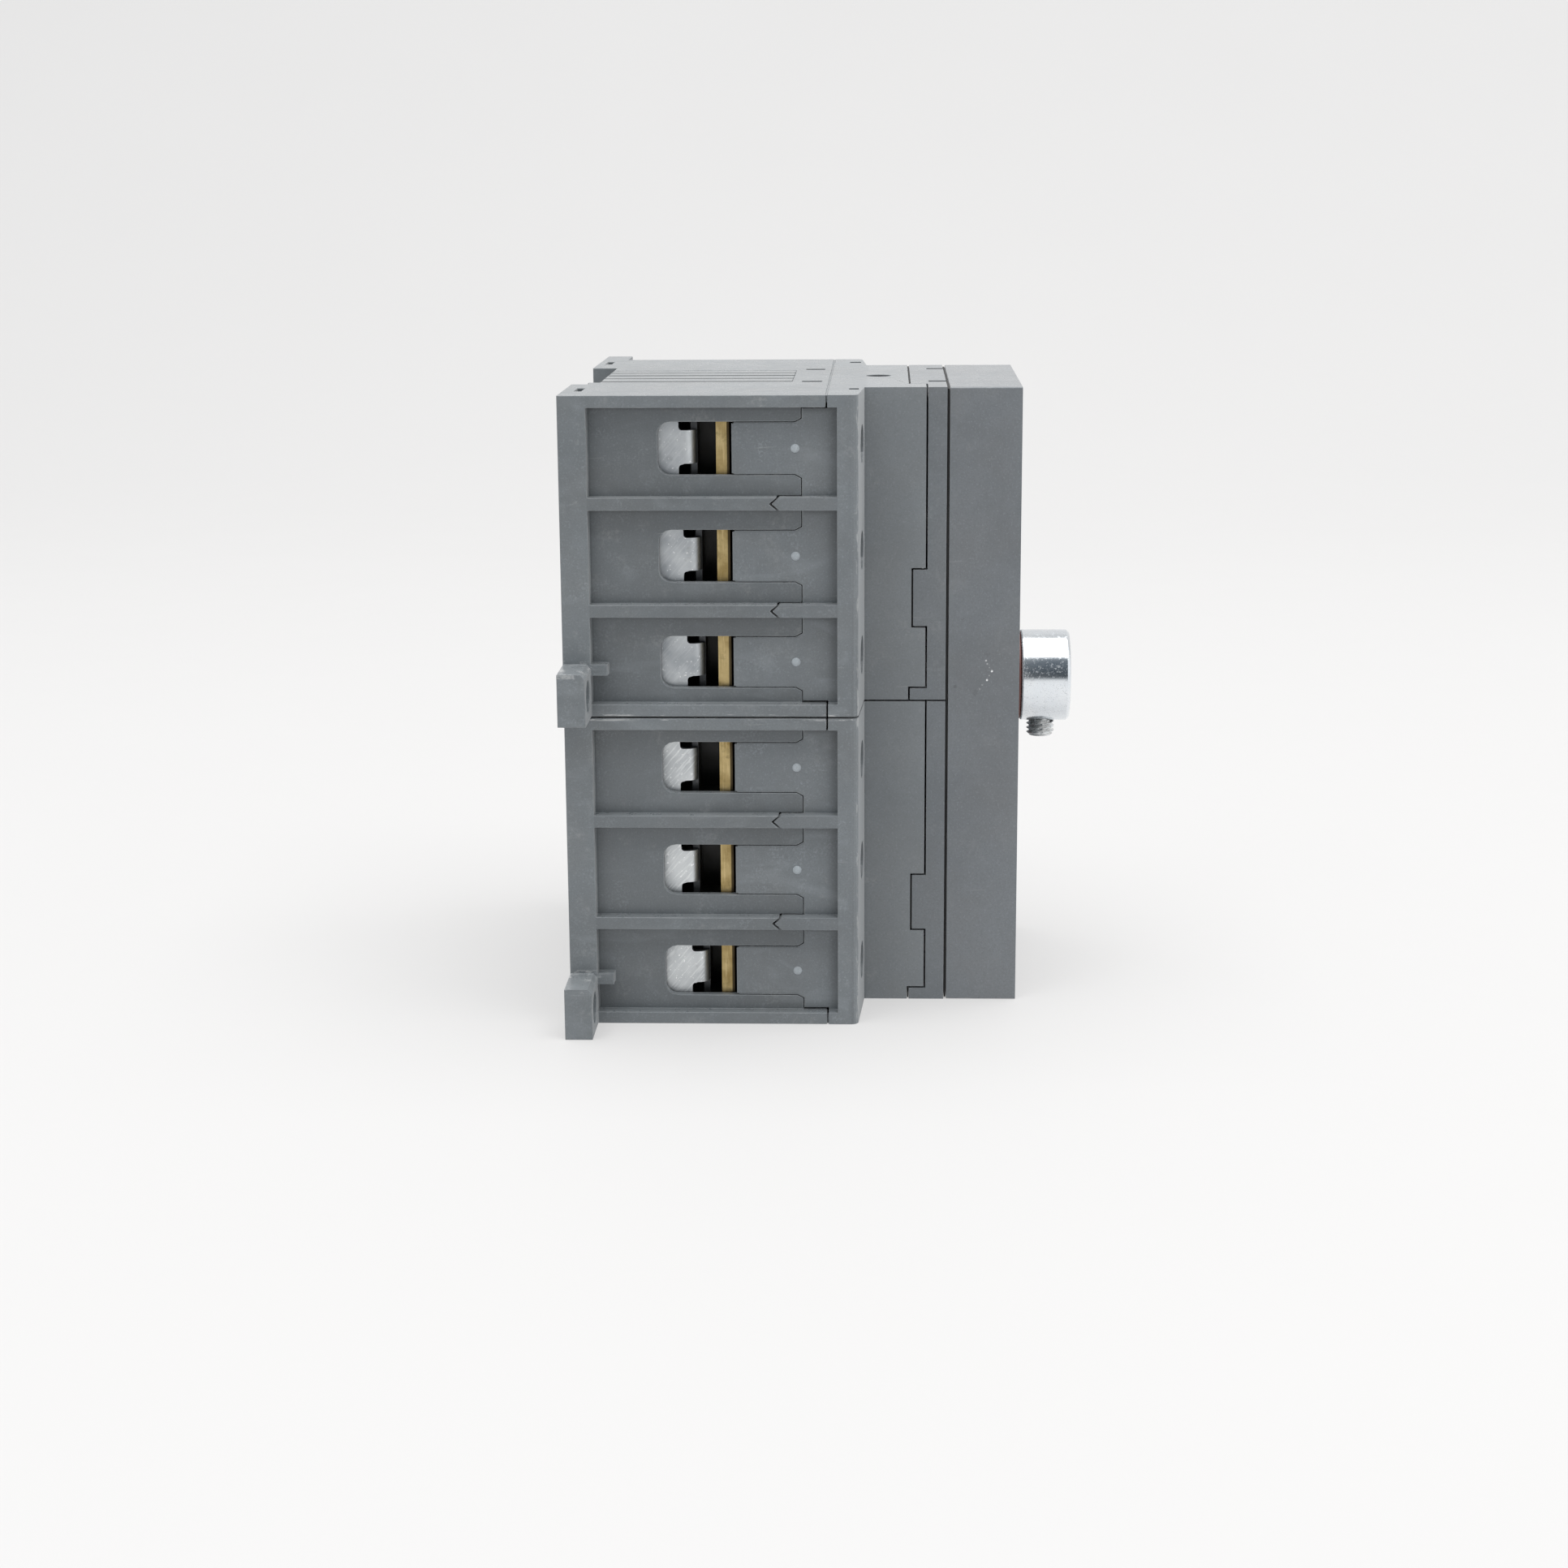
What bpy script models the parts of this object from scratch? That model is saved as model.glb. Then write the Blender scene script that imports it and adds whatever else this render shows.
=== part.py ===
"""Six-pole rotary switch-disconnector in a moulded case.

Two identical three-pole blocks stand end to end along Z.  X runs from the
mounting back (DIN rail side) to the front, Y from one terminal side to the
other.  Every number in the constants below is in millimetres; X is counted
from the mounting plane and the finished model is shifted so that the origin
is the middle of the bottom of the whole object.
"""
import math

import bmesh
import bpy
from mathutils import Matrix, Vector

# ------------------------------------------------------------------ sizes, mm
MM = 0.001
DEPTH = 85.15               # mounting plane to the front of the coupler
XC = DEPTH / 2

GAP = 0.3                   # between touching pieces
POLE_PITCH = 17.5
BLOCK_LEN = 52.45           # one three-pole block along Z
BLOCK_Z = (0.0, BLOCK_LEN + GAP)
TOTAL_LEN = BLOCK_Z[1] + BLOCK_LEN
POLE_Z = (8.725, 26.225, 43.725)
BAY_Z = ((2.0, 16.425), (18.525, 33.925), (36.025, 50.45))
RIB_Z = (17.475, 34.975)    # middle of the ribs between poles
RIB_T = 2.1

HALF_W = 38.35              # terminal faces at Y = -+HALF_W
NARROW_W = 23.75            # narrow front part
RECESS_W = 36.15            # floor of the terminal recesses
INNER_W = 34.65             # inside face of the terminal walls
NARROW_IN = 21.75

X_FLOOR = 6.0               # floor of the pole bays
X_RECESS = (4.6, 45.0)
X_OPENING = 15.95           # lower edge of the cable openings
X_PANEL = 39.3              # joint between the housings inside a recess
X_RIB_V = (34.0, 35.4)      # arrow joint in the ribs
X_JOINT = 43.3              # joint on the end walls
X_RIM = 47.2
X_SHOULDER = (48.45, 49.3)
X_CAP = 59.67
X_CAP_TAB = 57.3
X_CAP_END = 56.8
X_CAP_FRONT = 62.95
X_COVER = (63.4, 75.36)
OPENING_HALF = 4.3
TONGUE_END = 27.95

RAIL_X = (2.6, 4.4)         # rail seat, channel floor
RAIL_Y = (-16.4, 18.6)      # 35 mm rail
CHANNEL_Y = -12.9

FOOT_OUT = 47.5
FOOT_T = 4.6
FOOT_LEN = 8.65
FOOT_HOLE_R = 2.65

BAR_X = (25.3, 27.5)        # terminal bar
BAR_HALF = 4.9
TERMINAL_Y = 29.3           # axis of the clamp screws
CONTACT_TOP = 47.2
CAGE_LINE = (23.2, 21.63, 21.66, 23.1, 22.72, 22.15)   # clamping face, poles 1-6
CAGE_LOAD = (18.4, 19.0, 18.6, 19.2, 18.3, 18.8)
CAGE_H = 11.0               # clear height inside a cage
SCREW_R = 2.5
SCREW_HEAD_R = 3.8
DRIVER_HOLE_R = 3.2

SPINDLE_Z = TOTAL_LEN / 2
HUB_R = 5.6
CRANK_R = 6.0               # link bar pins
ECC_R = 3.4                 # eccentric pins that drive the contact slides
STROKE = 2 * ECC_R * math.sin(math.radians(45))
COUPLER_R = 8.0
COUPLER_X = (76.8, 85.15)
SET_SCREW_X = 80.3
END_HOLE = (51.55, 2.15)

# ---------------------------------------------------------------- fresh scene
for old in list(bpy.data.objects):
    bpy.data.objects.remove(old, do_unlink=True)

parts = bpy.data.collections.new("rotary_switch_disconnector")
tools = bpy.data.collections.new("cutters")
bpy.context.scene.collection.children.link(parts)
bpy.context.scene.collection.children.link(tools)
tools.hide_render = True


def material(name, rgb, rough, metal=0.0):
    mat = bpy.data.materials.new(name)
    mat.use_nodes = True
    shader = mat.node_tree.nodes["Principled BSDF"]
    shader.inputs["Base Color"].default_value = (*rgb, 1.0)
    shader.inputs["Roughness"].default_value = rough
    shader.inputs["Metallic"].default_value = metal
    mat.diffuse_color = (*rgb, 1.0)
    return mat


FINISHES = {
    "rear_plastic": ((0.13, 0.145, 0.15), 0.62, 0.0),
    "front_plastic": ((0.17, 0.185, 0.19), 0.6, 0.0),
    "cap_plastic": ((0.17, 0.185, 0.19), 0.58, 0.0),
    "cover_plastic": ((0.18, 0.195, 0.2), 0.55, 0.0),
    "white_plastic": ((0.72, 0.72, 0.69), 0.45, 0.0),
    "black_plastic": ((0.03, 0.03, 0.033), 0.5, 0.0),
    "ring_plastic": ((0.3, 0.09, 0.05), 0.5, 0.0),
    "zinc_steel": ((0.62, 0.62, 0.6), 0.35, 1.0),
    "screw_steel": ((0.55, 0.54, 0.5), 0.4, 1.0),
    "coupler_steel": ((0.68, 0.68, 0.67), 0.25, 1.0),
    "link_steel": ((0.5, 0.5, 0.5), 0.4, 1.0),
    "brass": ((0.5, 0.38, 0.2), 0.4, 1.0),
    "copper": ((0.72, 0.4, 0.25), 0.35, 1.0),
}


# ------------------------------------------------------------- shape builders
def link(name, mesh, coll):
    obj = bpy.data.objects.new(name, mesh)
    coll.objects.link(obj)
    return obj


def bodies(name, *shapes):
    """A helper object made of primitive boxes and rods, sizes in mm."""
    bm = bmesh.new()
    for shape in shapes:
        if shape[0] == "box":
            _, x0, x1, y0, y1, z0, z1 = shape
            centre = Vector(((x0 + x1) / 2, (y0 + y1) / 2, (z0 + z1) / 2)) * MM
            size = Vector((x1 - x0, y1 - y0, z1 - z0)) * MM
            bmesh.ops.create_cube(bm, size=1.0, matrix=Matrix.Translation(centre) @ Matrix.Diagonal((*size, 1.0)))
        else:
            _, axis, c, r, lo, hi, n = shape
            middle = (lo + hi) / 2
            a, b = c
            place, turn = {
                "x": ((middle, a, b), Matrix.Rotation(math.pi / 2, 4, "Y")),
                "y": ((a, middle, b), Matrix.Rotation(math.pi / 2, 4, "X")),
                "z": ((a, b, middle), Matrix.Identity(4)),
            }[axis]
            bmesh.ops.create_cone(
                bm, cap_ends=True, segments=n, radius1=r * MM, radius2=r * MM, depth=(hi - lo) * MM,
                matrix=Matrix.Translation(Vector(place) * MM) @ turn,
            )
    mesh = bpy.data.meshes.new(name)
    bm.to_mesh(mesh)
    bm.free()
    obj = link(name, mesh, tools)
    obj.hide_render = True
    obj.display_type = "WIRE"
    return obj


def plate(name, points, plane, lo, hi):
    """A flat outline given in mm, extruded from lo to hi along the third axis."""
    curve = bpy.data.curves.new(name, "CURVE")
    curve.dimensions = "2D"
    curve.fill_mode = "BOTH"
    curve.extrude = (hi - lo) / 2 * MM
    spline = curve.splines.new("POLY")
    spline.points.add(len(points) - 1)
    for point, (a, b) in zip(spline.points, points):
        point.co = (a * MM, b * MM, 0.0, 1.0)
    spline.use_cyclic_u = True
    flat = link(name + "_outline", curve, tools)
    middle = (lo + hi) / 2 * MM
    if plane == "xy":
        flat.matrix_world = Matrix.Translation((0, 0, middle))
    elif plane == "xz":
        flat.matrix_world = Matrix.Translation((0, middle, 0)) @ Matrix.Rotation(math.pi / 2, 4, "X")
    else:
        flat.matrix_world = Matrix(((0, 0, 1, middle), (1, 0, 0, 0), (0, 1, 0, 0), (0, 0, 0, 1)))
    bpy.context.view_layer.update()
    graph = bpy.context.evaluated_depsgraph_get()
    mesh = bpy.data.meshes.new_from_object(flat.evaluated_get(graph))
    mesh.transform(flat.matrix_world)
    bm = bmesh.new()
    bm.from_mesh(mesh)
    bmesh.ops.remove_doubles(bm, verts=bm.verts, dist=1e-6)
    bmesh.ops.recalc_face_normals(bm, faces=bm.faces)
    bm.to_mesh(mesh)
    bm.free()
    bpy.data.objects.remove(flat, do_unlink=True)
    obj = link(name, mesh, tools)
    obj.hide_render = True
    obj.display_type = "WIRE"
    return obj


def turned(name, profile, steps):
    """A closed profile (radius, height) in mm turned about local Z."""
    mesh = bpy.data.meshes.new(name)
    bm = bmesh.new()
    verts = [bm.verts.new((r * MM, 0.0, h * MM)) for r, h in profile]
    for i, v in enumerate(verts):
        bm.edges.new((v, verts[(i + 1) % len(verts)]))
    bm.to_mesh(mesh)
    bm.free()
    obj = link(name, mesh, tools)
    screw = obj.modifiers.new("turn", "SCREW")
    screw.axis = "Z"
    screw.angle = math.tau
    screw.steps = screw.render_steps = steps
    screw.use_merge_vertices = True
    screw.merge_threshold = 1e-6
    screw.use_normal_calculate = False
    obj.hide_render = True
    obj.display_type = "WIRE"
    return obj


def shape(base, *steps):
    """Joins and cuts the base in order and returns one plain mesh."""
    for i, (op, helper) in enumerate(steps):
        mod = base.modifiers.new(f"{op}_{i}", "BOOLEAN")
        mod.solver = "EXACT"
        mod.operation = {"join": "UNION", "cut": "DIFFERENCE"}[op]
        mod.object = helper
        mod.use_self = False
    bpy.context.view_layer.update()
    graph = bpy.context.evaluated_depsgraph_get()
    mesh = bpy.data.meshes.new_from_object(base.evaluated_get(graph))
    for _, helper in steps:
        bpy.data.objects.remove(helper, do_unlink=True)
    bpy.data.objects.remove(base, do_unlink=True)
    bm = bmesh.new()
    bm.from_mesh(mesh)
    bmesh.ops.remove_doubles(bm, verts=bm.verts, dist=2e-6)
    bmesh.ops.dissolve_limit(bm, angle_limit=0.0005, verts=bm.verts, edges=bm.edges)
    bmesh.ops.triangulate(bm, faces=[f for f in bm.faces if len(f.verts) > 4])
    bm.to_mesh(mesh)
    bm.free()
    return mesh


def turn_about_x(mesh, cy, cz):
    """The same mesh turned half a turn about an axis along X through (cy, cz) mm."""
    copy = mesh.copy()
    centre = Matrix.Translation(Vector((0, cy, cz)) * MM)
    copy.transform(centre @ Matrix.Rotation(math.pi, 4, "X") @ centre.inverted())
    return copy


def helper_from(name, mesh):
    obj = link(name, mesh, tools)
    obj.hide_render = True
    obj.display_type = "WIRE"
    return obj


def both_ends(name, *shapes):
    """The shapes and their copies half a turn about the middle of the block."""
    first = bodies(name, *shapes)
    second = helper_from(name + "_turned", turn_about_x(first.data, 0.0, BLOCK_LEN / 2))
    return first, second


MATERIALS = {}
SHADED = set()


def place(name, mesh, finish, origin, rotation=(0.0, 0.0, 0.0), smooth=False):
    """One named part, its origin given in mm from the mounting plane."""
    if finish not in MATERIALS:
        MATERIALS[finish] = material(finish, *FINISHES[finish])
    if not mesh.materials:
        mesh.materials.append(MATERIALS[finish])
    if smooth and mesh.name not in SHADED:
        SHADED.add(mesh.name)
        mesh.shade_smooth()
        mesh.set_sharp_from_angle(angle=math.radians(35))
    obj = link(name, mesh, parts)
    obj.location = Vector((origin[0] - XC, origin[1], origin[2])) * MM
    obj.rotation_euler = rotation
    return obj


def shifted(mesh, dx, dy, dz):
    mesh.transform(Matrix.Translation(Vector((dx, dy, dz)) * MM))
    return mesh


def ycopy(spec):
    """Both terminal sides of a box given for positive Y."""
    tag, x0, x1, y0, y1, z0, z1 = spec
    return [spec, (tag, x0, x1, -y1, -y0, z0, z1)]


# ------------------------------------------------------------- rear housing
def rear_housing():
    base = bodies("rear", ("box", 0, X_JOINT - 0.15, -HALF_W, HALF_W, 0, BLOCK_LEN))
    foot_outline = [(0, 0), (FOOT_T, 0), (FOOT_T, FOOT_LEN - 0.7), (FOOT_T - 0.7, FOOT_LEN), (0, FOOT_LEN)]
    steps = []
    foot = plate("foot", foot_outline, "xz", -FOOT_OUT, -HALF_W + 0.5)
    other_foot = helper_from("foot_b", turn_about_x(foot.data, 0.0, BLOCK_LEN / 2))
    for helper in (foot, other_foot):
        steps.append(("join", helper))

    # pole bays: contact space in the middle, wiring spaces outside, a ledge
    # under each terminal bar between them
    bays = []
    for z0, z1 in BAY_Z:
        bays.append(("box", X_FLOOR, 60, -20.4, 20.4, z0, z1))
        bays += ycopy(("box", X_FLOOR, 60, 23.6, INNER_W, z0, z1))
    steps.append(("cut", bodies("bays", *bays)))
    steps.append(("cut", bodies("over_ledges", *[("box", 25.0, 60, -24.5, 24.5, z0, z1) for z0, z1 in BAY_Z])))
    for side in (-1, 1):
        recess, slots = [], []
        lo, hi = sorted((side * RECESS_W, side * 45))
        for z0, z1 in BAY_Z:
            recess.append(("box", X_RECESS[0], 60, lo, hi, z0, z1))
        steps.append(("cut", bodies("recess", *recess)))
        lo, hi = sorted((side * 33, side * 37.5))
        for zc, (z0, z1) in zip(POLE_Z, BAY_Z):
            r, h, end = 2.0, OPENING_HALF, X_PANEL - 0.15
            outline = [(60, z0 - zc), (60, z1 - zc), (end, z1 - zc), (end, h + 0.55), (end - 1.0, h)]
            for k in range(5):
                a = math.radians(90 + 22.5 * k)
                outline.append((X_OPENING + r + r * math.cos(a), h - r + r * math.sin(a)))
            for k in range(5):
                a = math.radians(180 + 22.5 * k)
                outline.append((X_OPENING + r + r * math.cos(a), -h + r + r * math.sin(a)))
            outline += [(end - 1.0, -h), (end, -h - 0.55), (end, z0 - zc)]
            outline = [(x, z + zc) for x, z in outline]
            steps.append(("cut", plate("opening", outline, "xz", lo, hi)))
        # arrow shaped end of the ribs between the poles
        lo, hi = sorted((side * INNER_W, side * 45))
        for zr in RIB_Z:
            h = RIB_T / 2 + 0.1
            arrow = [(X_RIB_V[0], zr), (X_RIB_V[1], zr - h), (60, zr - h), (60, zr + h), (X_RIB_V[1], zr + h)]
            steps.append(("cut", plate("arrow", arrow, "xz", lo, hi)))

    for helper in both_ends("ledge", ("box", 4.2, 7.4, -HALF_W, -RECESS_W + 0.2, 6.8, FOOT_LEN)):
        steps.append(("join", helper))

    # rail channel with one fixed hook, and the guide of the sliding rail clip
    steps.append(("cut", bodies("channel", ("box", -5, RAIL_X[1], CHANNEL_Y, RAIL_Y[1], -5, 60))))
    steps.append(("cut", bodies("seat", ("box", 1.2, RAIL_X[0], RAIL_Y[0], 0, -5, 60))))
    steps.append(("cut", bodies("relief", ("box", 1.25, RAIL_X[0] + 0.2, RAIL_Y[0], RAIL_Y[0] + 1.7, -5, 60),
                                ("box", 1.25, RAIL_X[0] + 0.2, 16.9, RAIL_Y[1], -5, 60))))
    steps.append(("cut", bodies("mouth", ("box", -5, 1.3, RAIL_Y[0] + 1.4, 0, -5, 60))))
    steps.append(("cut", bodies("mouth_ends", ("box", -5, 1.4, RAIL_Y[0], 0, -5, 17), ("box", -5, 1.4, RAIL_Y[0], 0, 35.4, 60))))
    steps.append(("cut", bodies("clip_guide", ("box", -5, 1.7, 17, 45, 21.2, 31.2))))
    steps.append(("cut", bodies("clip_guide_wide", ("box", 1.6, 3.9, 18, 45, 19.2, 33.2))))
    steps.append(("join", bodies("rail_pads", *[("box", RAIL_X[0], RAIL_X[1] + 0.4, 15.2, RAIL_Y[1] + 0.4, z0, z1)
                                              for z0, z1 in ((4.0, 17.0), (35.45, 48.45))])))

    # shallow panel, back slots and snap slots in the end walls
    for helper in both_ends("end_panel", ("box", 4.4, 37.0, -12.0, 12.5, BLOCK_LEN - 0.2, 60)):
        steps.append(("cut", helper))
    for helper in both_ends("end_slots", ("box", 1.9, 3.1, -30.2, -23.9, BLOCK_LEN - 3.0, 60),
                            ("box", 1.3, 2.5, 27.6, 33.9, BLOCK_LEN - 3.0, 60)):
        steps.append(("cut", helper))
    for helper in both_ends("snap_slots", ("box", 38.6, 42.0, -12.7, -10.4, BLOCK_LEN - 1.5, 60),
                            ("box", 38.6, 42.0, 13.4, 15.7, BLOCK_LEN - 1.5, 60)):
        steps.append(("cut", helper))
    hole_y = (HALF_W + FOOT_OUT) / 2 + 0.3
    for helper in both_ends("foot_hole", ("rod", "x", (-hole_y, FOOT_LEN / 2), FOOT_HOLE_R, -5, 10, 20)):
        steps.append(("cut", helper))
    return shape(base, *steps)


# ------------------------------------------------------------ front housing
def front_housing():
    r = 1.25
    side = [(X_RIM, HALF_W)]
    for k in range(1, 5):
        a = math.radians(90 - 22.5 * k)
        side.append((X_RIM + r * math.cos(a), HALF_W - r + r * math.sin(a)))
    side += [(X_SHOULDER[1], NARROW_W), (X_CAP - 0.15, NARROW_W)]
    outline = [(X_JOINT + 0.15, HALF_W)] + side
    outline += [(x, -y) for x, y in reversed(outline)]
    base = plate("front", outline, "xy", 0, BLOCK_LEN)
    steps = []
    steps.append(("cut", bodies("bays", *[("box", 40, 46.9, -INNER_W, INNER_W, z0, z1) for z0, z1 in BAY_Z])))
    steps.append(("cut", bodies("front_space", ("box", 46.85, 65, -NARROW_IN, NARROW_IN, 2.0, BLOCK_LEN - 2.0))))
    for s in (-1, 1):
        lo, hi = sorted((s * RECESS_W, s * 45))
        steps.append(("cut", bodies("recess", *[("box", 40, X_RECESS[1], lo, hi, z0, z1) for z0, z1 in BAY_Z])))
        # panels that close the recesses and the tongues in the cable openings
        lo, hi = sorted((s * (INNER_W + GAP), s * RECESS_W))
        for i, (zc, (z0, z1)) in enumerate(zip(POLE_Z, BAY_Z)):
            z0 = z0 + GAP if i == 0 else z0 - 0.2
            z1 = z1 - GAP if i == 2 else z1 + 0.2
            h, start = OPENING_HALF - GAP, X_PANEL + 0.15
            tongue = [(TONGUE_END, zc - h), (start - 1.2, zc - h), (start, zc - h - 0.66), (start, z0), (44.5, z0),
                      (44.5, z1), (start, z1), (start, zc + h + 0.66), (start - 1.2, zc + h), (TONGUE_END, zc + h)]
            steps.append(("join", plate("tongue", tongue, "xz", lo, hi)))
        lo, hi = sorted((s * (INNER_W + 2 * GAP), s * HALF_W))
        for zr in RIB_Z:
            h = RIB_T / 2
            arrow = [(X_RIB_V[0] + 0.45, zr), (X_RIB_V[1] + 0.3, zr - h), (46, zr - h), (46, zr + h), (X_RIB_V[1] + 0.3, zr + h)]
            steps.append(("join", plate("arrow", arrow, "xz", lo, hi)))
        # partitions between the wiring space and the contacts
        lo, hi = sorted((s * 20.7, s * 23.6))
        steps.append(("join", bodies("partitions", *[
            ("box", BAR_X[1] + GAP, 47.6, lo, hi, z0 + GAP, z1 - GAP) for z0, z1 in BAY_Z])))
        steps.append(("cut", bodies("driver_holes", *[
            ("rod", "x", (s * TERMINAL_Y, zc), DRIVER_HOLE_R, 45, 52, 24) for zc in POLE_Z])))
    for helper in both_ends("cap_tab", ("box", X_CAP_TAB - 0.15, 65, -30, -NARROW_IN + 0.2, 12.3, 22.4)):
        steps.append(("cut", helper))
    for helper in both_ends("cap_end", ("box", X_CAP_END - 0.15, 65, -17.3, 30, BLOCK_LEN - 2.25, 60)):
        steps.append(("cut", helper))
    steps.append(("cut", bodies("end_hole", ("rod", "z", (END_HOLE[0], 0), END_HOLE[1], -5, 60, 24))))
    for helper in both_ends("rim_slits", ("box", 46.2, 48.2, 29.5, 31.9, BLOCK_LEN - 1.4, 60),
                            ("box", 46.8, 48.4, -28.0, -25.7, BLOCK_LEN - 1.4, 60)):
        steps.append(("cut", helper))
    return shape(base, *steps)


# ---------------------------------------------------------------- front cap
def front_cap():
    x0 = X_CAP + 0.15
    base = bodies("cap", ("box", x0, X_CAP_FRONT, -NARROW_W, NARROW_W, 0, BLOCK_LEN))
    steps = []
    for helper in both_ends("tab", ("box", X_CAP_TAB + 0.15, x0 + 0.5, -NARROW_W, -NARROW_IN - 0.1, 12.6, 22.1)):
        steps.append(("join", helper))
    for helper in both_ends("end_tab", ("box", X_CAP_END + 0.15, x0 + 0.5, -17.0, NARROW_W, BLOCK_LEN - 1.95, BLOCK_LEN)):
        steps.append(("join", helper))
    steps.append(("cut", bodies("inside", ("box", 50, 61.0, -NARROW_IN, NARROW_IN, 2.0, BLOCK_LEN - 2.0))))
    for helper in both_ends("snap", ("box", 60.0, 70, 14.1, 16.3, BLOCK_LEN - 3, 60),
                            ("box", 60.0, 70, -12.9, -10.7, BLOCK_LEN - 3, 60)):
        steps.append(("cut", helper))
    steps.append(("cut", bodies("shaft_hole", ("rod", "x", (0, POLE_Z[1]), 3.4, 55, 70, 32))))
    return shape(base, *steps)


# ----------------------------------------------------------- mechanism cover
def mechanism_cover():
    base = bodies("cover", ("box", *X_COVER, -NARROW_W, NARROW_W, 0, TOTAL_LEN))
    return shape(
        base,
        ("cut", bodies("cavity", ("box", 60, X_COVER[1] - 2.0, -NARROW_IN, NARROW_IN, 2.0, TOTAL_LEN - 2.0))),
        ("join", bodies("boss", ("rod", "x", (0, SPINDLE_Z), 8.5, 70.9, X_COVER[1] - 1.0, 32))),
        ("cut", bodies("bearing", ("rod", "x", (0, SPINDLE_Z), HUB_R + 0.4, 60, 80, 32))),
    )


# ------------------------------------------------------------ terminal parts
def terminal_bar():
    """Fixed contact for the -Y side; its origin is on the pole centre line."""
    outline = [(BAR_X[0], -34.3), (BAR_X[1], -34.3), (BAR_X[1], -14.2), (CONTACT_TOP, -14.2), (CONTACT_TOP, -8.6),
               (45.0, -8.6), (45.0, -12.0), (BAR_X[0] + 0.3, -12.0), (BAR_X[0] + 0.3, -24.1), (BAR_X[0], -24.4)]
    base = plate("bar", outline, "xy", -BAR_HALF, BAR_HALF)
    mesh = shape(base, ("cut", bodies("waist", ("box", 43.8, 60, -20, 0, 1.6, 10), ("box", 43.8, 60, -20, 0, -10, -1.6))))
    return shifted(mesh, -BAR_X[0], 0, 0)


def clamp_cage():
    """Cage with its clamping face at x = 0 and the screw axis at y = z = 0."""
    base = bodies("cage", ("box", -1.2, CAGE_H + 3.0, -3.0, 3.0, -6.4, 6.4))
    flange = [(-9.5, -5.2), (-1.6, -5.2), (-1.6, -2.8), (0, -2.8), (0, 2.8), (-1.6, 2.8), (-1.6, 5.2), (-9.5, 5.2)]
    return shape(
        base,
        ("cut", bodies("window", ("box", 0, CAGE_H, -5, 5, -5.2, 5.2))),
        ("join", bodies("lip", ("box", -1.2, 0, -4.6, -2.5, -2.8, 2.8))),
        ("join", plate("flange", flange, "xz", -5.05, -3.95)),
        ("cut", bodies("thread", ("rod", "x", (0, 0), SCREW_R + 0.3, 8, 16, 16))),
    )


def clamp_screw():
    """Captive screw, its tip at x = 0, head with a cross recess."""
    length, head = 15.2, 3.4
    base = bodies("screw", ("rod", "x", (0, 0), SCREW_R, 0, length + 0.5, 16))
    return shape(
        base,
        ("join", bodies("head", ("rod", "x", (0, 0), SCREW_HEAD_R, length, length + head, 24))),
        ("cut", bodies("slot_a", ("box", length + head - 1.6, 30, -2.6, 2.6, -0.55, 0.55))),
        ("cut", bodies("slot_b", ("box", length + head - 1.6, 30, -0.55, 0.55, -2.6, 2.6))),
    )


# ------------------------------------------------------------ contact system
def moving_contact():
    base = bodies("bridge", ("box", -0.6, 0.6, -13.5, 13.5, -1.5, 1.5))
    return shape(base, ("cut", bodies("peg_hole", ("rod", "x", (0, 0), 1.2, -3, 3, 12))))


def contact_slide():
    """Carrier of three bridges; its origin is the middle of the block, slide retracted."""
    mid = POLE_Z[1]
    base = bodies("carrier", ("box", 49.0, 52.0, -6.5, 6.5, 11.0, 49.9))
    steps = []
    for zc in POLE_Z:
        steps.append(("join", bodies("peg", ("rod", "x", (0, zc + STROKE), 0.9, 47.6, 49.5, 10))))
    steps.append(("join", bodies("nose", ("rod", "z", (51.2, 0), 1.4, 49.0, 51.9, 16))))
    pin_y = ECC_R * math.cos(math.radians(45))
    pin_z = mid + ECC_R * math.sin(math.radians(45))
    steps.append(("cut", bodies("yoke", ("box", 40, 60, pin_y - 1.6, ECC_R + 1.7, pin_z - 1.6, pin_z + 1.6))))
    steps.append(("cut", bodies("light", ("box", 50.6, 60, -4.9, 4.9, 13.0, 24.5), ("box", 50.6, 60, -4.9, 4.9, 33.0, 46.5))))
    mesh = shape(base, *steps)
    return shifted(mesh, -50.5, 0, -mid)


def drive_crank():
    """Shaft of one block: link pin in front, eccentric pin at the back."""
    c, s = math.cos(math.radians(45)), math.sin(math.radians(45))
    base = bodies("shaft", ("rod", "x", (0, 0), 3.0, 54.0, 64.5, 24))
    mesh = shape(
        base,
        ("join", bodies("eccentric_disc", ("rod", "x", (0, 0), 5.0, 52.6, 54.6, 24))),
        ("join", bodies("eccentric_pin", ("rod", "x", (ECC_R * c, ECC_R * s), 1.2, 49.4, 53.5, 14))),
        ("join", bodies("crank_disc", ("rod", "x", (0, 0), 7.8, 64.0, 66.0, 32))),
        ("join", bodies("crank_pin", ("rod", "x", (CRANK_R * c, CRANK_R * s), 1.4, 65.0, 68.4, 14))),
    )
    return shifted(mesh, -64.0, 0, 0)


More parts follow.
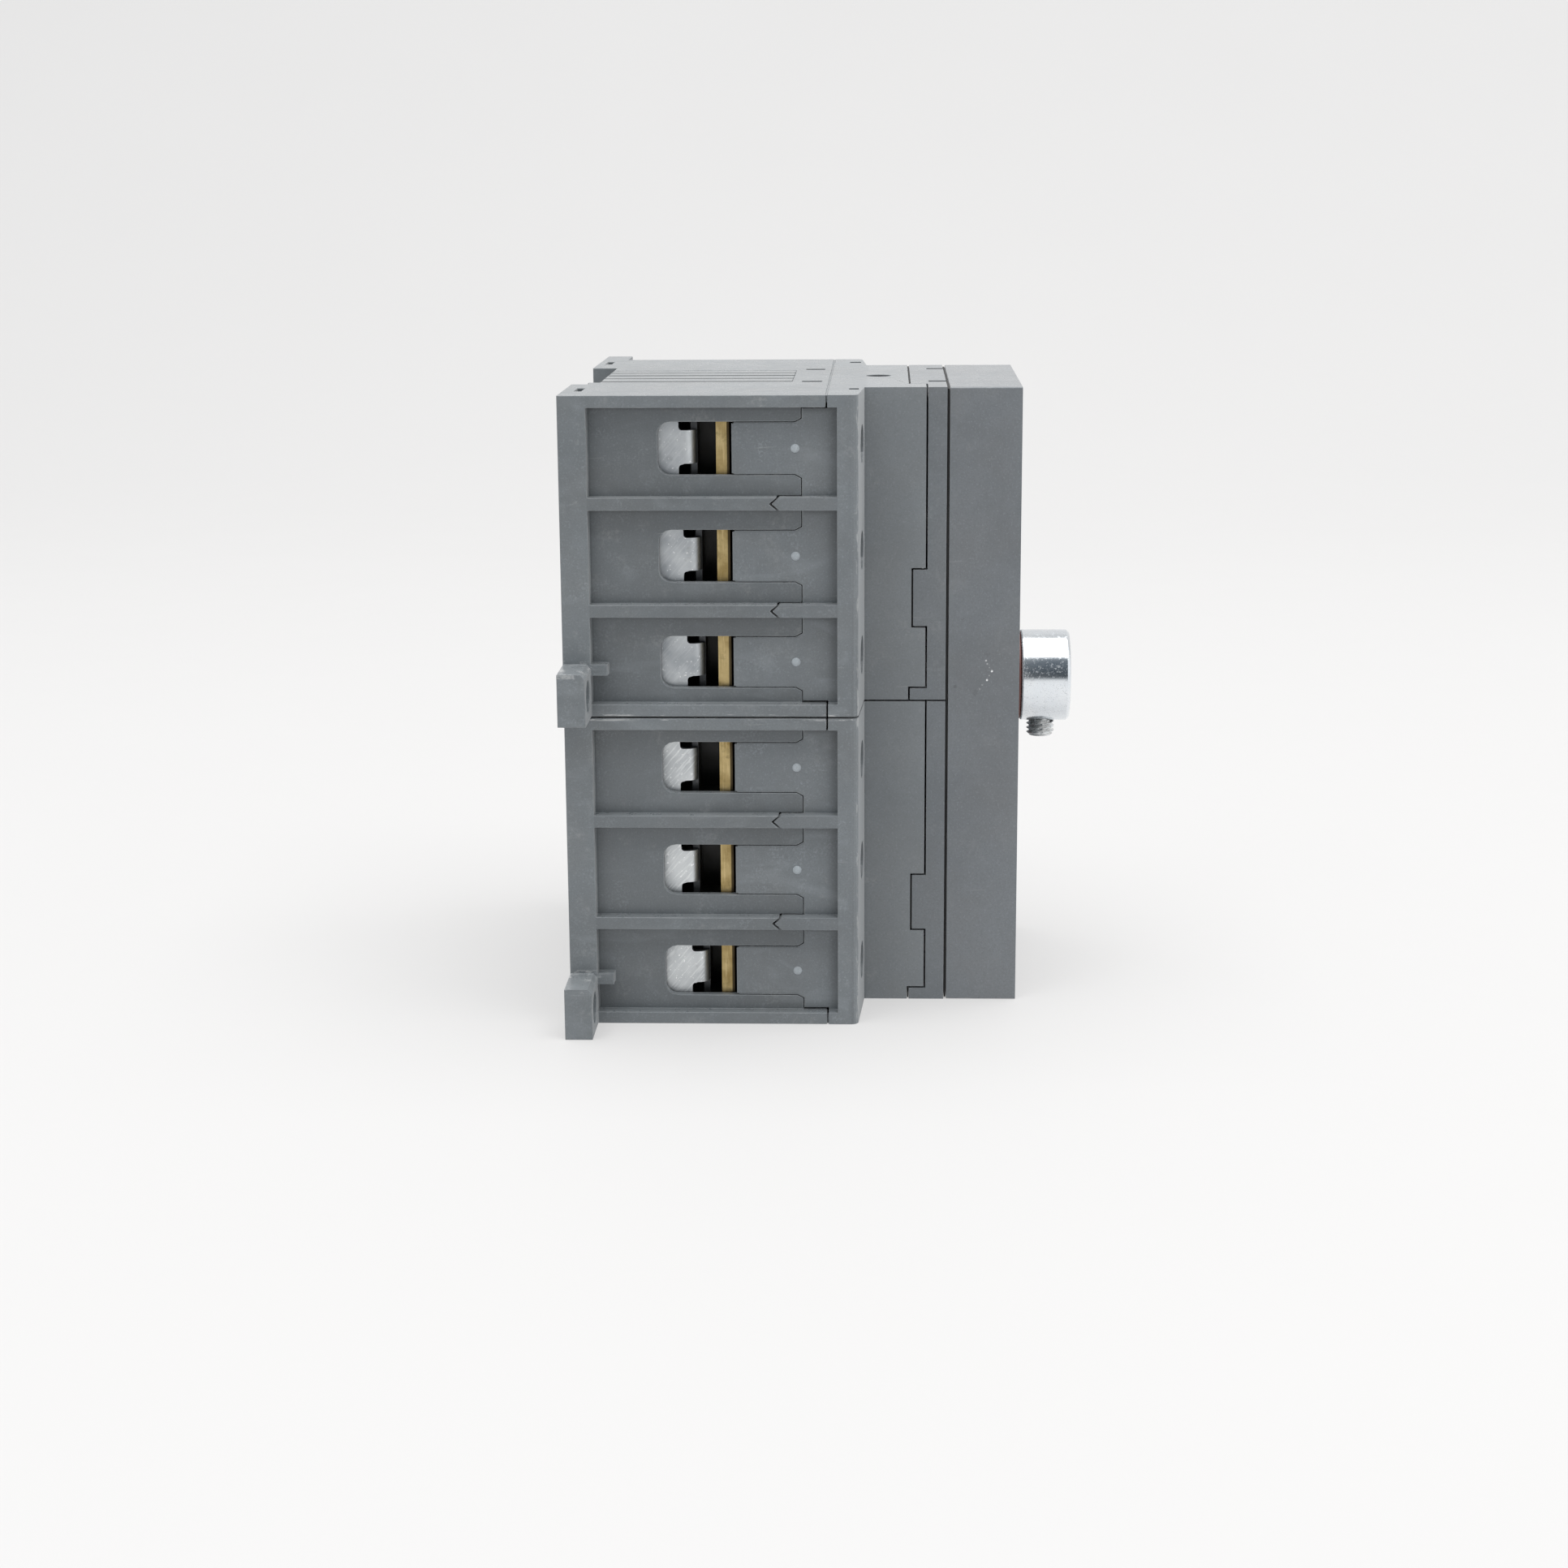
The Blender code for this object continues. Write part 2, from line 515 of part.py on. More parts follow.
def link_bar():
    half = 3.2
    c = CRANK_R * math.sin(math.radians(45))
    z0, z1 = POLE_Z[1] + c, BLOCK_Z[1] + POLE_Z[1] + c
    outline = []
    for zc, start in ((z1, 0), (z0, 180)):
        for k in range(9):
            a = math.radians(start + 22.5 * k)
            outline.append((half * math.cos(a), zc - z0 + half * math.sin(a)))
    base = plate("link", outline, "yz", 66.4, 68.2)
    pins = [("rod", "x", (0, z), 1.7, 60, 75, 16) for z in (0, SPINDLE_Z + c - z0, z1 - z0)]
    mesh = shape(base, ("cut", bodies("pin_holes", *pins)))
    return shifted(mesh, -67.3, 0, -(SPINDLE_Z + c - z0))


def operating_spindle():
    c = CRANK_R * math.cos(math.radians(45))
    base = bodies("hub", ("rod", "x", (0, 0), HUB_R, 69.5, 84.6, 32))
    mesh = shape(
        base,
        ("join", bodies("crank_disc", ("rod", "x", (0, 0), 7.8, 68.6, 70.6, 32))),
        ("join", bodies("crank_pin", ("rod", "x", (c, c), 1.4, 66.2, 69.5, 14))),
        ("cut", bodies("shaft_socket", ("box", 73.5, 90, -3.15, 3.15, -3.15, 3.15))),
        ("cut", bodies("screw_way", ("rod", "z", (SET_SCREW_X, 0), 2.7, -12, 0, 16))),
    )
    return shifted(mesh, -70.0, 0, 0)


def shaft_coupler():
    inner, ch = HUB_R + 0.3, 0.45
    length = COUPLER_X[1] - COUPLER_X[0]
    profile = [(COUPLER_R - ch, length), (COUPLER_R, length - ch), (COUPLER_R, ch), (COUPLER_R - ch, 0), (inner, 0), (inner, length)]
    base = turned("coupler", profile, 48)
    hole = bodies("screw_hole", ("rod", "x", (0, SET_SCREW_X - COUPLER_X[0]), 2.7, 2, 12, 20))
    return shape(base, ("cut", hole))


def spindle_ring():
    inner = HUB_R + 0.3
    profile = [(COUPLER_R, 0.84), (COUPLER_R, 0), (inner, 0), (inner, 0.84)]
    return shape(turned("ring", profile, 48))


def set_screw():
    """Grub screw along -Z, its inner end at z = 0."""
    base = bodies("grub", ("rod", "z", (0, 0), 2.4, -6.1, 0, 20))
    return shape(base, ("cut", bodies("hex", ("rod", "z", (0, 0), 1.4, -9, -3.9, 6))))


def rail_clip():
    """Sliding clip of the rail mounting, origin at its hook."""
    base = bodies("clip", ("box", 0.15, 1.4, 17.2, 44.0, 21.5, 30.9))
    mesh = shape(
        base,
        ("join", bodies("clip_neck", ("box", 1.0, 2.4, 21.0, 42.8, 21.5, 30.9))),
        ("join", bodies("clip_guided", ("box", 1.95, 3.6, 21.0, 37.0, 19.5, 32.9))),
        ("cut", bodies("pry_slot", ("box", -5, 5, 40.3, 42.3, 24.2, 28.2))),
    )
    return shifted(mesh, 0, -17.2, -26.2)


# ------------------------------------------------------------------ assembly
rear, front, cap = rear_housing(), front_housing(), front_cap()
bar, cage, screw = terminal_bar(), clamp_cage(), clamp_screw()
bridge, carrier, crank, clip = moving_contact(), contact_slide(), drive_crank(), rail_clip()

for tag, zb in zip(("lower", "upper"), BLOCK_Z):
    place(f"rear_housing_{tag}", rear, "rear_plastic", (0, 0, zb))
    place(f"front_housing_{tag}", front, "front_plastic", (0, 0, zb))
    place(f"front_cap_{tag}", cap, "cap_plastic", (0, 0, zb))
    place(f"contact_slide_{tag}", carrier, "white_plastic", (50.5, 0, zb + POLE_Z[1]))
    place(f"drive_crank_{tag}", crank, "white_plastic", (64.0, 0, zb + POLE_Z[1]), smooth=True)
    place(f"rail_clip_{tag}", clip, "black_plastic", (0, 17.2, zb + 26.2))

for n in range(6):
    z = BLOCK_Z[n // 3] + POLE_Z[n % 3]
    place(f"moving_contact_{n + 1}", bridge, "copper", (48.1, 0, z + STROKE))
    for tag, sign, faces in (("line", -1, CAGE_LINE), ("load", 1, CAGE_LOAD)):
        turn = (0.0, 0.0, 0.0) if sign < 0 else (math.pi, 0.0, 0.0)
        place(f"terminal_bar_{tag}_{n + 1}", bar, "brass", (BAR_X[0], 0, z), turn)
        place(f"clamp_cage_{tag}_{n + 1}", cage, "zinc_steel", (faces[n], sign * TERMINAL_Y, z), turn)
        place(f"clamp_screw_{tag}_{n + 1}", screw, "screw_steel", (BAR_X[1] + GAP, sign * TERMINAL_Y, z), turn, smooth=True)

link_offset = CRANK_R * math.sin(math.radians(45))
place("mechanism_cover", mechanism_cover(), "cover_plastic", (0, 0, 0))
place("operating_spindle", operating_spindle(), "black_plastic", (70.0, 0, SPINDLE_Z), smooth=True)
place("link_bar", link_bar(), "link_steel", (67.3, link_offset, SPINDLE_Z + link_offset))
place("shaft_coupler", shaft_coupler(), "coupler_steel", (COUPLER_X[0], 0, SPINDLE_Z), (0.0, math.pi / 2, 0.0), smooth=True)
place("spindle_ring", spindle_ring(), "ring_plastic", (X_COVER[1] + GAP, 0, SPINDLE_Z), (0.0, math.pi / 2, 0.0), smooth=True)
place("coupler_set_screw", set_screw(), "screw_steel", (SET_SCREW_X, 0, SPINDLE_Z - 4.7), smooth=True)
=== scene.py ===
"""Looks of the six-pole rotary switch-disconnector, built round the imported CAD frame.

Lengths in the helpers below are millimetres counted like in the CAD source: X from
the mounting plane, Y from the middle, Z from the end wall it stands on. P() turns
them into the frame's metres.
"""
import math

import bmesh
import bpy
from mathutils import Matrix, Vector, noise


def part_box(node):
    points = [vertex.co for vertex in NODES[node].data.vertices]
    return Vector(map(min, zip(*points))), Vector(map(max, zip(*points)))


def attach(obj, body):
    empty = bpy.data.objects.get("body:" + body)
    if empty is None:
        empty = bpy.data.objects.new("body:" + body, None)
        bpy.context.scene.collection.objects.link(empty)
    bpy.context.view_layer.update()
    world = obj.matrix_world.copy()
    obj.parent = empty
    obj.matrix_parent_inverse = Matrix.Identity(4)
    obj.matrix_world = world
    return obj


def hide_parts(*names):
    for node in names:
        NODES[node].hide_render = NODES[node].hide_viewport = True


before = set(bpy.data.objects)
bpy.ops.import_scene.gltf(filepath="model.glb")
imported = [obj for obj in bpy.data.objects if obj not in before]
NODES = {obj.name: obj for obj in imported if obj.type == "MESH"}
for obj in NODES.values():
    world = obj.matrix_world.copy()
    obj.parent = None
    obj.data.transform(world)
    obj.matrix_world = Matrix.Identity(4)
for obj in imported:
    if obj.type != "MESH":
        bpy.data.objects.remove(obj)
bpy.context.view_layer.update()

MM = 0.001
XC = 42.575
POLE_Z = (8.725, 26.225, 43.725)
BLOCK_Z = (0.0, 52.75)
BLOCK_LEN = 52.45
BAY_Z = ((2.0, 16.425), (18.525, 33.925), (36.025, 50.45))
RIB_Z = (17.475, 34.975)
SPINDLE_Z = 52.6
TERMINAL_Y = 29.3


def P(x, y, z):
    return Vector(((x - XC) * MM, y * MM, z * MM))


# ------------------------------------------------------------------ node tools
class Nodes:
    """A thin wrapper that wires shader nodes."""

    def __init__(self, name, ior=1.5):
        self.mat = bpy.data.materials.new(name)
        self.mat.use_nodes = True
        self.tree = self.mat.node_tree
        self.shader = self.tree.nodes["Principled BSDF"]
        self.shader.inputs["IOR"].default_value = ior
        self.coords = self.new("ShaderNodeTexCoord").outputs["Object"]

    def new(self, kind, **props):
        node = self.tree.nodes.new(kind)
        for key, value in props.items():
            setattr(node, key, value)
        return node

    def put(self, socket, value):
        if isinstance(value, bpy.types.NodeSocket):
            self.tree.links.new(value, socket)
        else:
            socket.default_value = value

    def math(self, op, a, b=0.0, clamp=False):
        node = self.new("ShaderNodeMath", operation=op, use_clamp=clamp)
        self.put(node.inputs[0], a)
        self.put(node.inputs[1], b)
        return node.outputs[0]

    def mix(self, fac, a, b, blend="MIX"):
        node = self.new("ShaderNodeMix", data_type="RGBA", blend_type=blend, clamp_factor=True)
        self.put(node.inputs[0], fac)
        for socket, value in ((node.inputs[6], a), (node.inputs[7], b)):
            if not isinstance(value, bpy.types.NodeSocket):
                value = (*value[:3], 1.0)
            self.put(socket, value)
        return node.outputs[2]

    def place(self, scale=(1, 1, 1), turn=(0, 0, 0), move=(0, 0, 0), of=None):
        node = self.new("ShaderNodeMapping")
        self.put(node.inputs[0], of or self.coords)
        node.inputs["Location"].default_value = move
        node.inputs["Rotation"].default_value = turn
        node.inputs["Scale"].default_value = scale
        return node.outputs[0]

    def noise(self, scale, detail=2.0, rough=0.5, where=None, distort=0.0):
        node = self.new("ShaderNodeTexNoise")
        self.put(node.inputs["Vector"], where or self.coords)
        node.inputs["Scale"].default_value = scale
        node.inputs["Detail"].default_value = detail
        node.inputs["Roughness"].default_value = rough
        node.inputs["Distortion"].default_value = distort
        return node.outputs["Fac"]

    def voronoi(self, scale, where=None, feature="F1"):
        node = self.new("ShaderNodeTexVoronoi", feature=feature)
        self.put(node.inputs["Vector"], where or self.coords)
        node.inputs["Scale"].default_value = scale
        return node.outputs["Distance"]

    def remap(self, value, lo, hi, out_lo=0.0, out_hi=1.0, smooth=True):
        node = self.new("ShaderNodeMapRange", interpolation_type="SMOOTHSTEP" if smooth else "LINEAR", clamp=True)
        self.put(node.inputs["Value"], value)
        node.inputs["From Min"].default_value = lo
        node.inputs["From Max"].default_value = hi
        node.inputs["To Min"].default_value = out_lo
        node.inputs["To Max"].default_value = out_hi
        return node.outputs["Result"]

    def axes(self):
        node = self.new("ShaderNodeSeparateXYZ")
        self.put(node.inputs[0], self.coords)
        return node.outputs[0], node.outputs[1], node.outputs[2]

    def normal(self):
        node = self.new("ShaderNodeSeparateXYZ")
        self.put(node.inputs[0], self.new("ShaderNodeTexCoord").outputs["Normal"])
        return node.outputs[0], node.outputs[1], node.outputs[2]

    def band(self, value, centre, half, soft):
        """1 where value is within half of centre, fading over soft."""
        away = self.math("ABSOLUTE", self.math("SUBTRACT", value, centre))
        return self.remap(away, half, half + soft, 1.0, 0.0)

    def spot(self, centre, radius, soft):
        node = self.new("ShaderNodeVectorMath", operation="DISTANCE")
        self.put(node.inputs[0], self.coords)
        node.inputs[1].default_value = centre
        return self.remap(node.outputs["Value"], radius, radius + soft, 1.0, 0.0)

    def bump(self, *layers):
        """Layers of (height, strength, distance in metres), stacked."""
        last = None
        for height, strength, distance in layers:
            node = self.new("ShaderNodeBump")
            node.inputs["Strength"].default_value = strength
            node.inputs["Distance"].default_value = distance
            self.put(node.inputs["Height"], height)
            if last is not None:
                self.put(node.inputs["Normal"], last)
            last = node.outputs["Normal"]
        self.put(self.shader.inputs["Normal"], last)

    def set(self, **values):
        for key, value in values.items():
            name = key.replace("_", " ")
            if name == "Base Color" and not isinstance(value, bpy.types.NodeSocket):
                value = (*value, 1.0)
            self.put(self.shader.inputs[name], value)


def scaled(rgb, k):
    return tuple(min(1.0, c * k) for c in rgb)


# ------------------------------------------------------------------- materials
def plastic(name, base, rough=0.41, dust=0.35, scuffs=None, edge=False, painted_shade_inside=False, chips=(), slits=(), lighter=None, recess_dust_and_shade=None, sheen=0.3):
    """Matt moulded thermoset: cloudy colour, fine grain, dust on the flats and rubbed edges lightened by wear and by
    painted highlight.
    """
    m = Nodes(name, ior=1.53)
    cloud = m.noise(48.0, 2.0, 0.45)
    mottle = m.noise(330.0, 4.0, 0.6)
    grain = m.noise(3600.0, 2.0, 0.6)
    colour = m.mix(m.remap(cloud, 0.32, 0.68), scaled(base, 0.9), scaled(base, 1.1))
    tint = m.mix(m.remap(m.noise(95.0, 3.0, 0.5, where=m.place(move=(3.1, 1.7, 0.4))), 0.35, 0.7),
                 (base[0] * 0.97, base[1] * 1.0, base[2] * 1.03), (base[0] * 1.03, base[1] * 1.0, base[2] * 0.98))
    colour = m.mix(0.35, colour, tint)
    colour = m.mix(m.math("MULTIPLY", m.remap(mottle, 0.35, 0.75), 0.22), colour, scaled(base, 1.4))
    colour = m.mix(m.math("MULTIPLY", m.remap(grain, 0.42, 0.7), 0.3), colour, scaled(base, 0.72))
    pits = m.remap(m.noise(2900.0, 2.0, 0.5, where=m.place(move=(0.7, 0.2, 0.9))), 0.6, 0.66)
    colour = m.mix(m.math("MULTIPLY", pits, 0.2), colour, scaled(base, 1.9))
    pale = (0.36, 0.37, 0.365)
    powder = m.math("MULTIPLY", m.remap(m.noise(150.0, 6.0, 0.72), 0.52, 0.74), m.remap(m.noise(1500.0, 3.0, 0.7), 0.35, 0.7))
    colour = m.mix(m.math("MULTIPLY", powder, dust), colour, pale)
    hairs = m.noise(1.0, 3.0, 0.5, where=m.place(scale=(90.0, 900.0, 1500.0), turn=(0.35, 0.2, 0.5)))
    hairs = m.remap(hairs, 0.71, 0.76)
    colour = m.mix(m.math("MULTIPLY", hairs, 0.22), colour, pale)
    if edge:
        # edge wear and painted highlight: the bevels are mixed towards pale, patchy as wear plus an even part as
        # painted highlight
        edge_wear_and_highlight = m.remap(m.noise(260.0, 5.0, 0.7), 0.42, 0.66)
        colour = m.mix(m.math("ADD", m.math("MULTIPLY", edge_wear_and_highlight, 0.18), 0.03), colour, (0.42, 0.43, 0.43))
    x, y, z = m.axes()
    if painted_shade_inside:
        # painted shade: behind the terminal openings the mouldings are coloured near black, as if unlit
        inside = m.math("MULTIPLY", m.remap(m.math("ABSOLUTE", y), 0.03455, 0.03475, 1.0, 0.0),
                        m.math("MULTIPLY", m.remap(x, -0.0366, -0.0364), m.remap(x, 0.0043, 0.0045, 1.0, 0.0)))
        deep = m.math("MULTIPLY", inside, m.remap(z, 0.0018, 0.002))
        deep = m.math("MULTIPLY", deep, m.remap(z, 0.1032, 0.1034, 1.0, 0.0))
        colour = m.mix(m.math("MULTIPLY", deep, 0.88), colour, (0.018, 0.019, 0.02))
    if recess_dust_and_shade is not None:
        # pale flow marks and dust clouds on the terminal faces
        flow = m.noise(1.0, 3.0, 0.55, where=m.place(scale=(75.0, 75.0, 210.0), turn=(0.0, 0.5, 0.0)), distort=0.8)
        facing = m.remap(m.math("ABSOLUTE", y), 0.0358, 0.0359)
        facing = m.math("MULTIPLY", facing, m.remap(x, (46.5 - XC) * MM, (47.0 - XC) * MM, 1.0, 0.0))
        colour = m.mix(m.math("MULTIPLY", m.math("MULTIPLY", m.remap(flow, 0.52, 0.72), facing), 0.13), colour, scaled(base, 2.4))
        dusty = m.math("MULTIPLY", m.remap(m.noise(210.0, 5.0, 0.7, where=m.place(move=(0.2, 0.9, 0.4))), 0.48, 0.7), m.remap(m.noise(2300.0, 2.0, 0.6), 0.5, 0.62))
        colour = m.mix(m.math("MULTIPLY", m.math("MULTIPLY", dusty, facing), 0.2), colour, scaled(base, 2.6))
        # painted shade along the walls of the terminal recesses, strongest under their upper edges, and on the ribs
        # between them
        top_edge_shade, bottom_edge_shade, ribs = 0.0, 0.0, 0.0
        for zb in BLOCK_Z:
            for z0, z1 in BAY_Z:
                top_edge_shade = m.math("MAXIMUM", top_edge_shade, m.band(z, (zb + z1) * MM, 0.05 * MM, 1.3 * MM))
                bottom_edge_shade = m.math("MAXIMUM", bottom_edge_shade, m.band(z, (zb + z0) * MM, 0.05 * MM, 0.8 * MM))
            for zr in RIB_Z:
                ribs = m.math("MAXIMUM", ribs, m.band(z, (zb + zr) * MM, 1.0 * MM, 0.1 * MM))
        across = m.math("ABSOLUTE", y)
        inside = m.math("MULTIPLY", m.remap(x, (4.4 - XC) * MM, (4.7 - XC) * MM), m.remap(x, (44.9 - XC) * MM, (45.2 - XC) * MM, 1.0, 0.0))
        floor_mask = m.math("MULTIPLY", m.remap(across, 0.0358, 0.0359), m.remap(across, 0.0363, 0.0377, 1.0, 0.0))
        floor_mask = m.math("MULTIPLY", floor_mask, inside)
        walls = m.math("MAXIMUM", m.math("MULTIPLY", top_edge_shade, 0.5), m.math("MULTIPLY", bottom_edge_shade, 0.12))
        walls = m.math("MAXIMUM", walls, m.remap(x, (42.9 - XC) * MM, (45.0 - XC) * MM, 0.0, 0.3))
        walls = m.math("MAXIMUM", walls, m.remap(x, (4.6 - XC) * MM, (5.5 - XC) * MM, 0.5, 0.0))
        # painted shade over the whole recess floor, by the amount given
        walls = m.math("MAXIMUM", walls, recess_dust_and_shade)
        colour = m.mix(m.math("MULTIPLY", floor_mask, walls), colour, scaled(base, 0.25))
        # painted shade: the ribs between the bays are coloured darker
        rib_shade = m.math("MULTIPLY", m.math("MULTIPLY", ribs, inside), m.remap(across, 0.0375, 0.038))
        colour = m.mix(m.math("MULTIPLY", rib_shade, 0.17), colour, scaled(base, 0.25))
    if scuffs:
        for centre, half, soft, amount, scale in scuffs:
            (cx, hx), (cy, hy), (cz, hz) = zip(centre, half)
            mask = m.math("MULTIPLY", m.band(x, (cx - XC) * MM, hx * MM, soft * MM),
                          m.math("MULTIPLY", m.band(m.math("ABSOLUTE", y), cy * MM, hy * MM, soft * MM),
                                 m.band(z, cz * MM, hz * MM, soft * MM)))
            streak = m.remap(m.noise(1.0, 5.0, 0.7, where=m.place(scale=scale)), 0.5, 0.62)
            colour = m.mix(m.math("MULTIPLY", m.math("MULTIPLY", mask, streak), amount), colour, (0.7, 0.7, 0.69))
    for centre, radius, amount, shade in chips:
        mask = m.spot(P(*centre), radius * MM, 0.14 * MM)
        rag = m.remap(m.noise(2600.0, 3.0, 0.7), 0.36, 0.5)
        colour = m.mix(m.math("MULTIPLY", m.math("MULTIPLY", mask, rag), amount), colour, shade)
    if slits:
        # painted shade in the pockets of the end walls; the lower end is the upper one turned half round about X
        side = m.remap(z, 0.0525, 0.0527, -1.0, 1.0, smooth=False)
        y_end = m.math("MULTIPLY", y, side)
        for x0, x1, y0, y1 in slits:
            pocket_shade = m.math("MULTIPLY", m.band(x, ((x0 + x1) / 2 - XC) * MM, (x1 - x0) / 2 * MM, 0.05 * MM),
                            m.band(y_end, (y0 + y1) / 2 * MM, (y1 - y0) / 2 * MM, 0.05 * MM))
            deep = m.math("MAXIMUM", m.remap(z, 0.10505, 0.1051, 1.0, 0.0), 0.0)
            low = m.remap(z, 0.0001, 0.00015, 0.0, 1.0)
            colour = m.mix(m.math("MULTIPLY", m.math("MULTIPLY", pocket_shade, 0.8), m.math("MULTIPLY", deep, low)), colour, (0.02, 0.02, 0.03))
    if lighter:
        x0, x1, half_y, gain = lighter
        zone = m.math("MULTIPLY", m.remap(x, (x0 - XC) * MM, (x0 + 0.6 - XC) * MM), m.remap(m.math("ABSOLUTE", y), half_y * MM, (half_y + 0.2) * MM, 1.0, 0.0))
        colour = m.mix(m.math("MULTIPLY", zone, gain), colour, (1.0, 1.0, 1.0))
    soil = m.math("MULTIPLY", powder, 0.12)
    # the end walls are smoother from handling, the faces that look forward are dull and dusty
    nx, ny, nz = m.normal()
    ends = m.remap(m.math("ABSOLUTE", nz), 0.85, 0.95, 0.0, -0.11)
    fronts = m.remap(nx, 0.85, 0.95, 0.0, 0.45)
    roughness = m.math("ADD", m.remap(mottle, 0.3, 0.75, rough - 0.05, rough + 0.07), soil)
    roughness = m.math("ADD", m.math("ADD", roughness, ends), fronts)
    m.set(Base_Color=colour, Roughness=roughness)
    m.shader.inputs["Sheen Weight"].default_value = sheen
    m.shader.inputs["Sheen Roughness"].default_value = 0.35
    m.bump((m.noise(70.0, 2.0, 0.4), 0.06, 0.0002), (mottle, 0.06, 0.00006), (grain, 0.3, 0.000022))
    return m.mat


def zinc(name):
    """Zinc-plated sheet: cloudy, with spangle, bright specks and slanting tool marks."""
    m = Nodes(name)
    cloud = m.noise(170.0, 3.0, 0.55)
    cells = m.voronoi(900.0)
    marks = m.noise(1.0, 4.0, 0.55, where=m.place(scale=(260.0, 500.0, 2900.0), of=m.place(turn=(0.0, 0.85, 0.0))))
    colour = m.mix(m.remap(cloud, 0.3, 0.7), (0.405, 0.43, 0.455), (0.6, 0.625, 0.64))
    colour = m.mix(m.math("MULTIPLY", m.remap(cells, 0.25, 0.7), 0.25), colour, (0.55, 0.57, 0.58))
    x, y, z = m.axes()
    hatched = m.remap(z, 0.050, 0.053, 0.5, 0.12)
    colour = m.mix(m.remap(z, 0.050, 0.053, 0.4, 0.0), colour, (0.78, 0.8, 0.8))
    colour = m.mix(m.math("MULTIPLY", m.remap(marks, 0.5, 0.62), hatched), colour, (0.9, 0.92, 0.92))
    stain = m.remap(m.noise(420.0, 5.0, 0.7, where=m.place(move=(0.3, 0.2, 0.7))), 0.58, 0.74)
    colour = m.mix(m.math("MULTIPLY", stain, 0.5), colour, (0.36, 0.36, 0.36))
    specks = m.remap(m.noise(2100.0, 2.0, 0.5), 0.66, 0.7)
    colour = m.mix(m.math("MULTIPLY", specks, 0.5), colour, (1.0, 1.0, 1.0))
    rough = m.math("SUBTRACT", m.remap(cloud, 0.3, 0.7, 0.5, 0.38), m.math("MULTIPLY", specks, 0.15))
    shade = m.remap(m.math("ABSOLUTE", y), 0.0325, 0.0339, 0.88, 0.0)
    colour = m.mix(shade, colour, (0.03, 0.031, 0.034))
    m.set(Base_Color=colour, Metallic=0.92, Roughness=rough)
    m.bump((cloud, 0.3, 0.0002), (marks, 0.4, 0.00005), (m.noise(2600.0, 3.0, 0.6), 0.3, 0.00003))
    return m.mat


def screw_steel(name, tone=(0.62, 0.6, 0.56), rough=0.33):
    m = Nodes(name)
    cloud = m.noise(420.0, 4.0, 0.6)
    fine = m.noise(3000.0, 3.0, 0.6)
    colour = m.mix(m.remap(cloud, 0.35, 0.7), scaled(tone, 0.72), scaled(tone, 1.15))
    grime = m.remap(m.noise(800.0, 5.0, 0.7), 0.56, 0.72)
    colour = m.mix(m.math("MULTIPLY", grime, 0.55), colour, (0.09, 0.08, 0.07))
    m.set(Base_Color=colour, Metallic=1.0, Roughness=m.remap(fine, 0.3, 0.75, rough - 0.08, rough + 0.16))
    m.bump((cloud, 0.25, 0.00008), (fine, 0.3, 0.00002))
    return m.mat


def bright_steel(name):
    """Turned and plated coupler: fine lathe rings, small dull specks and a blue cast."""
    m = Nodes(name)
    cloud = m.noise(160.0, 3.0, 0.5)
    rings = m.noise(1.0, 2.0, 0.5, where=m.place(scale=(9000.0, 60.0, 60.0)))
    specks = m.remap(m.noise(1700.0, 4.0, 0.65), 0.55, 0.68)
    colour = m.mix(m.remap(cloud, 0.3, 0.7), (0.78, 0.82, 0.86), (0.86, 0.885, 0.905))
    colour = m.mix(m.math("MULTIPLY", specks, 0.15), colour, (0.6, 0.62, 0.65))
    rust = m.remap(m.noise(260.0, 5.0, 0.7, where=m.place(move=(0.9, 0.1, 0.3))), 0.68, 0.8)
    colour = m.mix(m.math("MULTIPLY", rust, 0.4), colour, (0.5, 0.45, 0.38))
    pinholes = m.remap(m.noise(3000.0, 2.0, 0.6, where=m.place(move=(0.4, 0.8, 0.1))), 0.56, 0.64)
    patches = m.remap(m.noise(420.0, 3.0, 0.6, where=m.place(move=(0.6, 0.3, 0.5))), 0.42, 0.62)
    pinholes = m.math("MULTIPLY", pinholes, patches)
    colour = m.mix(m.math("MULTIPLY", pinholes, 0.8), colour, (0.8, 0.83, 0.86))
    rough = m.math("ADD", m.remap(cloud, 0.3, 0.7, 0.17, 0.21), m.math("MULTIPLY", specks, 0.2))
    m.set(Base_Color=colour, Metallic=m.math("SUBTRACT", 1.0, m.math("MULTIPLY", pinholes, 0.5)), Roughness=rough)
    m.bump((rings, 0.12, 0.00002), (m.noise(700.0, 3.0, 0.6), 0.03, 0.00003), (m.noise(5200.0, 3.0, 0.65), 0.2, 0.000006))
    return m.mat


